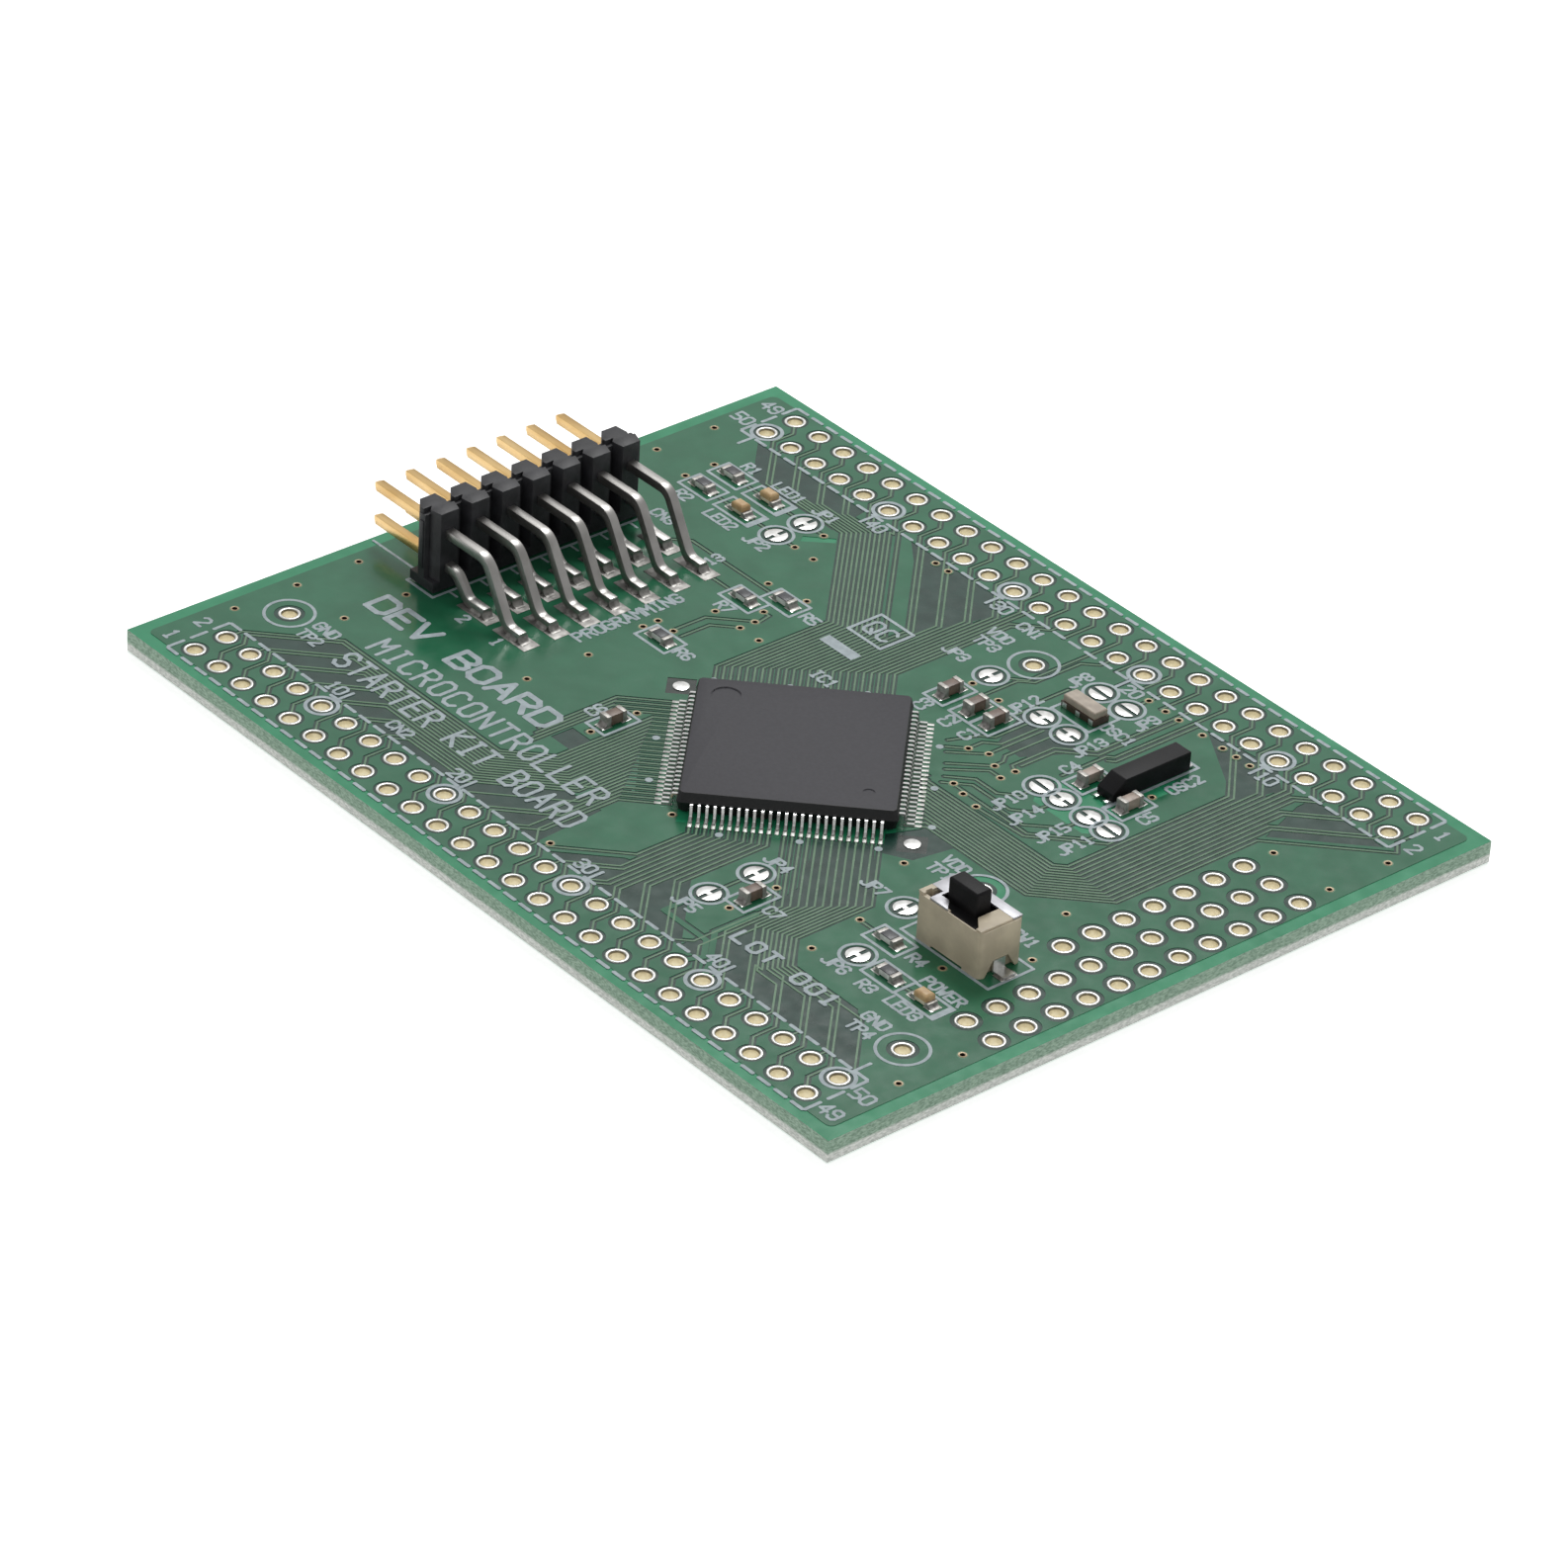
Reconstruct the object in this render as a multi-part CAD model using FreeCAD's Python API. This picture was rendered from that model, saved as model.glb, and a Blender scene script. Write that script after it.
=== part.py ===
import FreeCAD, Part
import math
import os

# Microcontroller development board, in millimetres.
# Origin: centre of the board on its underside. +X runs along the long side, +Y across it, +Z is up.

Vec = FreeCAD.Vector
UP = Vec(0, 0, 1)
ALONG_X = Vec(1, 0, 0)

# ---- driving dimensions -------------------------------------------------------------------
PITCH = 2.54                      # hole grid
EIGHTH = PITCH / 8                # placing grid of the vias

BOARD_LENGTH = 70.0
BOARD_WIDTH = 55.0
BOARD_THICKNESS = 1.6
TOP = BOARD_THICKNESS             # height of the component face
LAND = 0.05                       # height of a tinned land above the component face
SEAT = TOP + LAND                 # height on which every soldered part sits

HOLE_R = 0.50                     # finished radius of the header holes
BARREL_R = 0.56                   # radius of their plated barrels
PAD_R = 0.75                      # radius of their pads
PAD_DEPTH = 0.05                  # pads are let flush into both faces
VIA_R = 0.15
VIA_BARREL_R = 0.20
VIA_PAD_R = 0.30

CONNECTOR_COLUMNS = 25
CONNECTOR_INNER_Y = 9 * PITCH     # the two rows of an edge connector
CONNECTOR_OUTER_Y = 10 * PITCH
PROTOTYPE_COLUMNS = [(11 * PITCH, 5, 7), (12 * PITCH, 5, 11), (13 * PITCH, 5, 11)]  # x, top row, holes
TEST_POINTS = [(8 * PITCH, -PITCH), (-12 * PITCH, -7 * PITCH), (PITCH, 7 * PITCH), (12 * PITCH, -7 * PITCH)]

# Vias, counted in eighths of the pitch from the board's centre.
VIAS = [
    (-104, 64), (-104, 48), (-92, 54), (-92, 46), (-56, 54), (-56, 46), (-50, 46), (-34, 66), (-30, 66),
    (-38, 34), (-48, 32), (6, 41), (14, 41), (32, 66), (37, 66), (41, 66), (48, 66), (54, 66), (58, 66),
    (62, 66), (59, 42), (104, 64), (88, 48), (104, 48), (28, 26), (36, 26), (24, 24), (32, 24), (36, 22),
    (32, 13), (36, 12), (41, 11), (80, 0), (88, -16), (48, -14), (-46, 16), (-38, 16), (-38, 20), (-40, 24),
    (-32, 16), (-50, 4), (-45, 4), (-50, 0), (-48, -16), (-25, -22), (-48, -32), (-25, -34), (2, -66),
    (8, -40), (40, -40), (40, -52), (58, -34), (60, -48), (80, -32), (104, -48), (104, -64), (-104, -32),
    (-88, -32), (-104, -48), (-88, -48), (-104, -64),
]

# Solder jumpers: centre, whether the two halves sit side by side in X, and whether a bridge joins them.
JUMPERS = [
    (-19.69, 17.15, True, True), (-19.69, 14.60, True, True), (1.90, 14.60, True, True),
    (10.75, -12.70, True, True), (10.75, -16.50, True, True), (21.25, -13.40, True, True),
    (19.05, -7.65, True, True), (7.62, 19.05, False, False), (10.16, 19.05, False, False),
    (13.65, 8.50, False, False), (20.00, 8.50, False, False), (7.62, 13.95, False, True),
    (10.16, 13.95, False, True), (15.56, 8.50, False, True), (18.10, 8.50, False, True),
]
JUMPER_R = 0.80
JUMPER_GAP = 0.30
JUMPER_BRIDGE = 0.36

FIDUCIALS = [(-8.80, -2.60), (13.90, -2.60)]
FIDUCIAL_R = 0.55

# Chip parts lie along X (resistors, LEDs) or along Y (capacitors).
CHIP_LENGTH = 1.60
CHIP_WIDTH = 0.80
CHIP_CAP = 0.32                   # length of an end cap
CAP_SKIN = 0.03                   # thickness of the end cap's metal
CHIP_LAND = 0.80                  # length of a chip land
CHIP_LAND_REACH = 1.20            # distance from the chip's centre to the land's outer edge
RESISTOR_HEIGHT = 0.45
COATING_THICKNESS = 0.06
CAPACITOR_HEIGHT = 0.78
LED_BASE_HEIGHT = 0.30
LED_LENS_HEIGHT = 0.50
LED_LENS_LENGTH = 1.10
RESISTORS = [(-27.30, 17.15), (-27.30, 14.60), (24.10, -13.40), (21.25, -10.85), (-12.75, 9.50),
             (-14.00, -0.05), (-14.65, 7.60)]
CAPACITORS = [(6.33, 11.08), (4.40, 11.08), (1.90, 11.08), (15.00, 11.40), (18.75, 11.40),
              (-8.00, -8.90), (12.70, -14.65)]
LEDS = [(-23.40, 17.10), (-23.40, 14.60), (27.40, -13.40)]

# Programming header: two rows of seven bent pins in one housing.
HEADER_PINS = 7
HEADER_BACK_X = -29.20            # housing face on the mating side
HEADER_FRONT_X = -26.75           # housing face on the soldered side
HEADER_BOTTOM = TOP + 0.25
HEADER_TOP = TOP + 6.05
HEADER_FLANGE_TOP = TOP + 0.95    # solid strip along the foot of the housing
HEADER_WEB = (-28.40, -27.75)     # thin wall along Y that joins the columns
HEADER_WEB_TOP = TOP + 5.70
HEADER_COLUMN = [                 # plan of one column: X, and Y from its pins
    (HEADER_BACK_X, -0.62), (-28.38, -1.24), (-28.03, -1.20), (-28.06, -0.52), (-27.69, -0.90),
    (HEADER_FRONT_X, -0.74), (HEADER_FRONT_X, 0.72), (-27.70, 1.03), (-27.73, 0.55), (-28.16, 0.72),
    (HEADER_BACK_X, 0.62),
]
PIN_SIDE = 0.64
PIN_TIP_X = -34.55
PIN_TAPER = 0.35
UPPER_PIN_Z = TOP + 4.42
LOWER_PIN_Z = UPPER_PIN_Z - PITCH
PIN_FOOT_Z = SEAT + PIN_SIDE / 2
UPPER_BEND_X, UPPER_HEEL_X, UPPER_TOE_X = -22.75, -20.40, -18.90
LOWER_BEND_X, LOWER_HEEL_X, LOWER_TOE_X = -25.80, -24.55, -22.65
PIN_BEND_R = 1.15
HEADER_LAND_WIDTH = 1.35
UPPER_LAND = (-21.25, -17.90)     # from and to along X
LOWER_LAND = (-25.00, -21.80)

# Processor: a square package turned 45 degrees, with 25 gull-wing leads on each side.
IC_X, IC_Y = 2.54, -2.54
IC_TURN = 45.0
IC_SIDE = 14.0
IC_SPAN = 16.0
IC_STANDOFF = 0.10
IC_HEIGHT = 1.40
IC_DRAFT = 0.17                   # how far each moulded flank leans in
IC_DIMPLE_R = 1.00
IC_DIMPLE_AT = 7.00               # distance of both dimples from the centre, on the diagonal
IC_SMALL_DIMPLE_R = 0.40
IC_DIMPLE_DEPTH = 0.06
LEADS_PER_SIDE = 25
LEAD_PITCH = 0.50
LEAD_WIDTH = 0.20
LEAD_THICKNESS = 0.13
LEAD_FOOT = 0.55
LEAD_INSIDE = 1.20                # length of lead moulded into the package
DIE_SIDE, DIE_THICKNESS = 5.0, 0.30
PADDLE_SIDE, PADDLE_THICKNESS = 6.5, 0.15

# Push switch.
SWITCH_X, SWITCH_Y = 24.70, -7.55
SWITCH_LENGTH = 6.0
SWITCH_WIDTH = 3.5
SWITCH_BOTTOM = TOP + 0.02
SWITCH_FLOOR = TOP + 0.95         # floor of the inner well
SWITCH_TOP = TOP + 3.35
PLATE_THICKNESS = 0.15
LIP_BOTTOM = TOP + 3.16
WELL_LENGTH = 4.70
WELL_WIDTH = 2.90
BUTTON_X = SWITCH_X - 0.12        # the cap stands a little off the switch's middle
BUTTON_LENGTH = 2.66
BUTTON_WIDTH = 1.30
BUTTON_TOP = TOP + 4.85
SKIRT_LENGTH = 4.56
SKIRT_WIDTH = 2.76
SKIRT_BOTTOM = TOP + 2.00
SKIRT_TOP = TOP + 3.10
STEM_R = 0.70
DOME_R = 1.25
DOME_RISE = 0.45
DOME_THICKNESS = 0.07
TERMINAL_WIDTH = 0.95
TERMINAL_THICKNESS = 0.15
TERMINAL_REACH = 3.90             # from the switch centre to the end of a foot
CENTER_RISER_X = -2.78            # risers stand in the arches at the two ends
CONTACT_WIDTH = 0.70

# Ceramic resonator, lying along X.
RESONATOR_X, RESONATOR_Y = 8.89, 16.50
RESONATOR_LENGTH, RESONATOR_WIDTH = 3.20, 1.30
RESONATOR_BASE_HEIGHT = 0.45
RESONATOR_LID_HEIGHT = 0.50
RESONATOR_TERMINAL_WIDTH = 0.40

# Watch crystal in a moulded body, lying along Y with its leads at both ends.
CRYSTAL_X, CRYSTAL_Y = 17.10, 14.10
CRYSTAL_LENGTH, CRYSTAL_WIDTH, CRYSTAL_HEIGHT = 6.70, 1.50, 1.40
CRYSTAL_NOSE = 1.10               # length of the slanted end
CRYSTAL_CAN_R, CRYSTAL_CAN_LENGTH = 0.45, 4.20


# ---- small helpers ------------------------------------------------------------------------
def block(x0, x1, y0, y1, z0, z1):
    """Box between two corners."""
    return Part.makeBox(x1 - x0, y1 - y0, z1 - z0, Vec(x0, y0, z0))


def plinth(x, y, length, width, z0, z1):
    """Box centred on a point of the board."""
    return block(x - length / 2, x + length / 2, y - width / 2, y + width / 2, z0, z1)


def disc(x, y, radius, z0, z1):
    """Upright cylinder."""
    return Part.makeCylinder(radius, z1 - z0, Vec(x, y, z0), UP)


def prism(points, sweep):
    """Closed polygon pushed along a vector."""
    return Part.Face(Part.makePolygon(points + points[:1])).extrude(sweep)


def join(pieces):
    """One solid out of pieces that overlap or touch."""
    return pieces[0].fuse(pieces[1:]).removeSplitter()


def save(node, solids):
    """Write the solids of one sub-part as one STEP file."""
    flat = [solid for shape in solids for solid in shape.Solids]
    shape = flat[0] if len(flat) == 1 else Part.makeCompound(flat)
    shape.exportStep(os.path.join("parts", node + ".step"))
    print(node, len(flat), "solids", round(shape.Volume, 3), "mm3", shape.isValid())


def numbered(name, shapes):
    """Save each shape as a node of its own: name_1, name_2 and so on."""
    for number, shape in enumerate(shapes, 1):
        save(name + "_" + str(number), [shape])


# ---- board and plated holes ---------------------------------------------------------------
def eyelet_blank(x, y, pad_r, barrel_r):
    """Outer shape of a plated hole: a barrel with a pad let into each face."""
    lower = disc(x, y, pad_r, 0, PAD_DEPTH)
    upper = disc(x, y, pad_r, TOP - PAD_DEPTH, TOP)
    return join([disc(x, y, barrel_r, 0, TOP), lower, upper])


def edge_connector(sign):
    """Hole centres of one edge connector; sign is +1 at the +Y edge and -1 at the -Y edge."""
    columns = [(index - (CONNECTOR_COLUMNS - 1) / 2) * PITCH for index in range(CONNECTOR_COLUMNS)]
    return [(x, sign * y) for y in (CONNECTOR_INNER_Y, CONNECTOR_OUTER_Y) for x in columns]


def prototype_area():
    """Hole centres of the prototype area, column by column."""
    return [(x, (top - row) * PITCH) for x, top, count in PROTOTYPE_COLUMNS for row in range(count)]


def build_board():
    groups = {
        "connector_1_eyelets": edge_connector(1),
        "connector_2_eyelets": edge_connector(-1),
        "prototype_eyelets": prototype_area(),
        "test_point_eyelets": TEST_POINTS,
    }
    blanks = []
    for node, centres in groups.items():
        shapes = [eyelet_blank(x, y, PAD_R, BARREL_R) for x, y in centres]
        blanks += shapes
        save(node, [shape.cut(disc(x, y, HOLE_R, 0, TOP)) for shape, (x, y) in zip(shapes, centres)])
    vias = [(column * EIGHTH, row * EIGHTH) for column, row in VIAS]
    shapes = [eyelet_blank(x, y, VIA_PAD_R, VIA_BARREL_R) for x, y in vias]
    blanks += shapes
    save("via_barrels", [shape.cut(disc(x, y, VIA_R, 0, TOP)) for shape, (x, y) in zip(shapes, vias)])
    sheet = plinth(0, 0, BOARD_LENGTH, BOARD_WIDTH, 0, TOP)
    save("board_laminate", [sheet.cut(Part.makeCompound(blanks))])


# ---- tinned lands -------------------------------------------------------------------------
def jumper_lands(x, y, side_by_side, bridged):
    """Two half discs with a gap between them, joined by a small bridge where bridged."""
    whole = disc(x, y, JUMPER_R, TOP, SEAT)
    reach = 2 * JUMPER_R
    if side_by_side:
        halves = whole.cut(plinth(x, y, JUMPER_GAP, reach, TOP, SEAT))
        bridge = plinth(x, y, JUMPER_GAP, JUMPER_BRIDGE, TOP, SEAT)
    else:
        halves = whole.cut(plinth(x, y, reach, JUMPER_GAP, TOP, SEAT))
        bridge = plinth(x, y, JUMPER_BRIDGE, JUMPER_GAP, TOP, SEAT)
    return join([halves, bridge]) if bridged else halves


def chip_land_pair(x, y, along_x):
    """The two lands under a chip part."""
    offset = CHIP_LAND_REACH - CHIP_LAND / 2
    if along_x:
        return [plinth(x + side * offset, y, CHIP_LAND, 0.9, TOP, SEAT) for side in (-1, 1)]
    return [plinth(x, y + side * offset, 0.9, CHIP_LAND, TOP, SEAT) for side in (-1, 1)]


def header_rows():
    """Y of each pin column of the programming header."""
    return [(index - (HEADER_PINS - 1) / 2) * PITCH for index in range(HEADER_PINS)]


def ic_sides(shapes):
    """Copies of shapes made for the +X flank, turned to all four flanks and moved to the processor."""
    placed = []
    for side in range(4):
        for shape in shapes:
            copy = shape.copy()
            copy.rotate(Vec(0, 0, 0), UP, IC_TURN + 90 * side)
            copy.translate(Vec(IC_X, IC_Y, 0))
            placed.append(copy)
    return placed


def lead_rows():
    """Offset of each processor lead along its flank."""
    return [(index - (LEADS_PER_SIDE - 1) / 2) * LEAD_PITCH for index in range(LEADS_PER_SIDE)]


def build_lands():
    save("jumper_lands", [jumper_lands(*jumper) for jumper in JUMPERS])
    save("fiducial_lands", [disc(x, y, FIDUCIAL_R, TOP, SEAT) for x, y in FIDUCIALS])
    header = [block(x0, x1, y - HEADER_LAND_WIDTH / 2, y + HEADER_LAND_WIDTH / 2, TOP, SEAT)
              for x0, x1 in (UPPER_LAND, LOWER_LAND) for y in header_rows()]
    save("header_lands", header)
    chips = [land for x, y in RESISTORS + LEDS for land in chip_land_pair(x, y, True)]
    chips += [land for x, y in CAPACITORS for land in chip_land_pair(x, y, False)]
    save("chip_lands", chips)
    outer = IC_SPAN / 2 + 0.45
    inner = IC_SPAN / 2 - LEAD_FOOT - 0.15
    width = LEAD_WIDTH + 0.06
    row = [block(inner, outer, y - width / 2, y + width / 2, TOP, SEAT) for y in lead_rows()]
    save("processor_lands", ic_sides(row))
    near, far = SWITCH_LENGTH / 2 + 0.05, TERMINAL_REACH + 0.05
    spans = [(SWITCH_X - far, SWITCH_X - near), (SWITCH_X + near, SWITCH_X + far)]
    save("switch_lands", [block(x0, x1, SWITCH_Y - 0.65, SWITCH_Y + 0.65, TOP, SEAT) for x0, x1 in spans])


# ---- programming header -------------------------------------------------------------------
def bent_bar(points, bend_r, side):
    """Square bar along a bent line in the XZ plane, with tangent arcs at the inner points."""
    edges = []
    start = points[0]
    for before, corner, after in zip(points, points[1:], points[2:]):
        back = (before - corner).normalize()
        ahead = (after - corner).normalize()
        half_turn = (math.pi - back.getAngle(ahead)) / 2
        trim = bend_r * math.tan(half_turn)
        enter = corner + back * trim
        leave = corner + ahead * trim
        middle_way = (back + ahead).normalize()
        middle = corner + middle_way * (bend_r / math.cos(half_turn) - bend_r)
        edges.append(Part.makeLine(start, enter))
        edges.append(Part.Arc(enter, middle, leave).toShape())
        start = leave
    edges.append(Part.makeLine(start, points[-1]))
    y = points[0].y
    centre_z = points[0].z
    ring = [Vec(points[0].x, y + a * side / 2, centre_z + b * side / 2)
            for a, b in ((-1, -1), (1, -1), (1, 1), (-1, 1))]
    profile = Part.makePolygon(ring + ring[:1])
    return Part.Wire(edges).makePipeShell([profile], True, False)


def header_pin(y, z, bend_x, heel_x, toe_x):
    """One bent pin: tapered mating tip, straight shank, bend, slope and solder foot."""
    shank_start = PIN_TIP_X + PIN_TAPER
    line = [Vec(shank_start, y, z), Vec(bend_x, y, z), Vec(heel_x, y, PIN_FOOT_Z), Vec(toe_x, y, PIN_FOOT_Z)]
    shank = bent_bar(line, PIN_BEND_R, PIN_SIDE)
    rings = []
    for x, side in ((shank_start, PIN_SIDE), (PIN_TIP_X, PIN_SIDE * 0.5)):
        ring = [Vec(x, y + a * side / 2, z + b * side / 2) for a, b in ((-1, -1), (1, -1), (1, 1), (-1, 1))]
        rings.append(Part.makePolygon(ring + ring[:1]))
    tip = Part.makeLoft(rings, True, True)
    return join([shank, tip])


def header_housing():
    """Seven angular columns side by side, joined by a thin web and a strip at the foot."""
    half = HEADER_PINS * PITCH / 2
    web_back, web_front = HEADER_WEB
    columns = []
    for y in header_rows():
        points = [Vec(x, y + offset, HEADER_BOTTOM) for x, offset in HEADER_COLUMN]
        columns.append(prism(points, Vec(0, 0, HEADER_TOP - HEADER_BOTTOM)))
    flange = block(HEADER_BACK_X, HEADER_FRONT_X, -half, half, HEADER_BOTTOM, HEADER_FLANGE_TOP)
    web = block(web_back, web_front, -half, half, HEADER_BOTTOM, HEADER_WEB_TOP)
    # Both ends show the torn stub of the next web.
    stubs = [block(web_back + 0.12, web_front - 0.12, y0, y0 + 0.2, HEADER_BOTTOM + 1.4, HEADER_WEB_TOP - 0.5)
             for y0 in (-half - 0.08, half - 0.12)]
    # Two end feet carry the housing on the board.
    feet = [block(HEADER_BACK_X + 0.3, HEADER_FRONT_X - 0.3, y0, y0 + 0.6, TOP, HEADER_BOTTOM)
            for y0 in (-half + 0.6, half - 1.2)]
    return join(columns + [flange, web] + stubs + feet)


def build_header():
    upper = [header_pin(y, UPPER_PIN_Z, UPPER_BEND_X, UPPER_HEEL_X, UPPER_TOE_X) for y in header_rows()]
    lower = [header_pin(y, LOWER_PIN_Z, LOWER_BEND_X, LOWER_HEEL_X, LOWER_TOE_X) for y in header_rows()]
    save("header_upper_pins", upper)
    save("header_lower_pins", lower)
    holes = [block(HEADER_BACK_X - 1, HEADER_FRONT_X + 1, y - PIN_SIDE / 2, y + PIN_SIDE / 2,
                   z - PIN_SIDE / 2, z + PIN_SIDE / 2)
             for y in header_rows() for z in (LOWER_PIN_Z, UPPER_PIN_Z)]
    save("header_housing", [header_housing().cut(Part.makeCompound(holes))])


# ---- processor ----------------------------------------------------------------------------
def gull_wing(y):
    """One lead on the +X flank, as a bent strip seen from the side and given its width."""
    mid = SEAT + IC_STANDOFF + IC_HEIGHT / 2
    top = mid + LEAD_THICKNESS / 2
    low = mid - LEAD_THICKNESS / 2
    foot = SEAT + LEAD_THICKNESS
    half = IC_SIDE / 2
    heel = IC_SPAN / 2 - LEAD_FOOT
    outline = [
        (half - LEAD_INSIDE, low), (half - LEAD_INSIDE, top), (half + 0.30, top),
        (half + 0.36, top - 0.03), (half + 0.40, top - 0.08), (heel + 0.03, foot + 0.05), (heel + 0.09, foot),
        (IC_SPAN / 2, foot), (IC_SPAN / 2, SEAT), (heel - 0.06, SEAT), (heel - 0.11, SEAT + 0.05),
        (half + 0.27, low - 0.04), (half + 0.22, low),
    ]
    points = [Vec(x, y - LEAD_WIDTH / 2, z) for x, z in outline]
    return prism(points, Vec(0, LEAD_WIDTH, 0))


def square_ring(half, z):
    """Closed square wire of a given half side."""
    corners = [Vec(a * half, b * half, z) for a, b in ((-1, -1), (1, -1), (1, 1), (-1, 1))]
    return Part.makePolygon(corners + corners[:1])


def place_ic(shape):
    """Turn a shape made about the origin and move it to the processor."""
    shape.rotate(Vec(0, 0, 0), UP, IC_TURN)
    shape.translate(Vec(IC_X, IC_Y, 0))
    return shape


def build_processor():
    bottom = SEAT + IC_STANDOFF
    middle = bottom + IC_HEIGHT / 2
    top = bottom + IC_HEIGHT
    half = IC_SIDE / 2
    lower = Part.makeLoft([square_ring(half - IC_DRAFT, bottom), square_ring(half, middle)], True, True)
    upper = Part.makeLoft([square_ring(half, middle), square_ring(half - IC_DRAFT, top)], True, True)
    package = place_ic(join([lower, upper]))
    strip = [block(half - LEAD_INSIDE, half + 1, y - LEAD_WIDTH / 2, y + LEAD_WIDTH / 2,
                   middle - LEAD_THICKNESS / 2, middle + LEAD_THICKNESS / 2) for y in lead_rows()]
    package = package.cut(Part.makeCompound(ic_sides(strip)))
    paddle_top = middle - 0.10
    paddle = place_ic(plinth(0, 0, PADDLE_SIDE, PADDLE_SIDE, paddle_top - PADDLE_THICKNESS, paddle_top))
    die = place_ic(plinth(0, 0, DIE_SIDE, DIE_SIDE, paddle_top, paddle_top + DIE_THICKNESS))
    dimples = [disc(IC_X - IC_DIMPLE_AT, IC_Y, IC_DIMPLE_R, top - IC_DIMPLE_DEPTH, top),
               disc(IC_X + IC_DIMPLE_AT, IC_Y, IC_SMALL_DIMPLE_R, top - IC_DIMPLE_DEPTH, top)]
    save("processor_package", [package.cut([paddle, die] + dimples)])
    save("processor_paddle", [paddle])
    save("processor_die", [die])
    save("processor_leads", ic_sides([gull_wing(y) for y in lead_rows()]))


# ---- push switch --------------------------------------------------------------------------
def switch_block(x0, x1, y0, y1, z0, z1):
    """Box given from the switch's centre."""
    return block(SWITCH_X + x0, SWITCH_X + x1, SWITCH_Y + y0, SWITCH_Y + y1, z0, z1)


def end_arch(side):
    """Tapered recess at one end of the housing where a terminal comes down."""
    half = SWITCH_LENGTH / 2
    profile = [(-1.25, SWITCH_BOTTOM), (1.25, SWITCH_BOTTOM), (0.62, TOP + 1.05), (-0.62, TOP + 1.05)]
    start = SWITCH_X + side * half
    points = [Vec(start, SWITCH_Y + y, z) for y, z in profile]
    return prism(points, ALONG_X * (-side * 0.36))


def terminal(side, inner_x, width):
    """Contact strip on the well's floor, a riser in the arch and a solder foot."""
    riser = CENTER_RISER_X
    strip_low = SWITCH_FLOOR - TERMINAL_THICKNESS
    half = TERMINAL_WIDTH / 2
    strip = switch_block(riser, inner_x, -width / 2, width / 2, strip_low, SWITCH_FLOOR)
    post = switch_block(riser - TERMINAL_THICKNESS, riser, -half, half, SEAT, SWITCH_FLOOR)
    foot = switch_block(-TERMINAL_REACH, riser, -half, half, SEAT, SEAT + TERMINAL_THICKNESS)
    shape = join([strip, post, foot])
    if side > 0:
        shape.rotate(Vec(SWITCH_X, SWITCH_Y, 0), UP, 180)
    return shape


def dome():
    """Thin round snap spring standing on its rim, its crown touching the button's stem."""
    rise = DOME_RISE
    sphere_r = (DOME_R ** 2 + rise ** 2) / (2 * rise)
    centre = Vec(SWITCH_X, SWITCH_Y, SWITCH_FLOOR + rise - sphere_r)
    outer = Part.makeSphere(sphere_r, centre)
    inner = Part.makeSphere(sphere_r - DOME_THICKNESS, centre)
    slab = disc(SWITCH_X, SWITCH_Y, DOME_R + 0.2, SWITCH_FLOOR, SWITCH_FLOOR + rise + 0.1)
    return outer.cut(inner).common(slab)


def button():
    """Black plunger with a guided skirt and a stem; its top edges are bevelled."""
    cap = plinth(BUTTON_X, SWITCH_Y, BUTTON_LENGTH, BUTTON_WIDTH, SKIRT_TOP - 0.2, BUTTON_TOP)
    bevel = [edge for edge in cap.Edges
             if edge.BoundBox.ZMin > BUTTON_TOP - 0.01 or edge.BoundBox.ZLength > 1.0]
    cap = cap.makeChamfer(0.12, bevel)
    skirt = plinth(SWITCH_X, SWITCH_Y, SKIRT_LENGTH, SKIRT_WIDTH, SKIRT_BOTTOM, SKIRT_TOP)
    stem = disc(SWITCH_X, SWITCH_Y, STEM_R, SWITCH_FLOOR + DOME_RISE, SKIRT_BOTTOM + 0.1)
    return join([cap, skirt, stem])


def cover_plate():
    """Metal sheet with an opening for the button that runs out to the front edge."""
    z0, z1 = SWITCH_TOP, SWITCH_TOP + PLATE_THICKNESS
    sheet = switch_block(-2.88, 2.88, -1.70, 1.70, z0, z1)
    opening = switch_block(-1.62, 1.50, -0.95, 0.95, z0, z1)
    slot = [(-0.90, -0.94), (-0.10, -1.80), (2.30, -1.80), (1.49, -0.94)]
    points = [Vec(SWITCH_X + x, SWITCH_Y + y, z0) for x, y in slot]
    front_slot = prism(points, Vec(0, 0, z1 - z0))
    left_corner = switch_block(-3.00, -1.85, -1.80, -0.60, z0, z1)
    right_arm = switch_block(1.45, 3.00, -1.80, 0.92, z0, z1)
    return sheet.cut([opening, front_slot, left_corner, right_arm])


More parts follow.
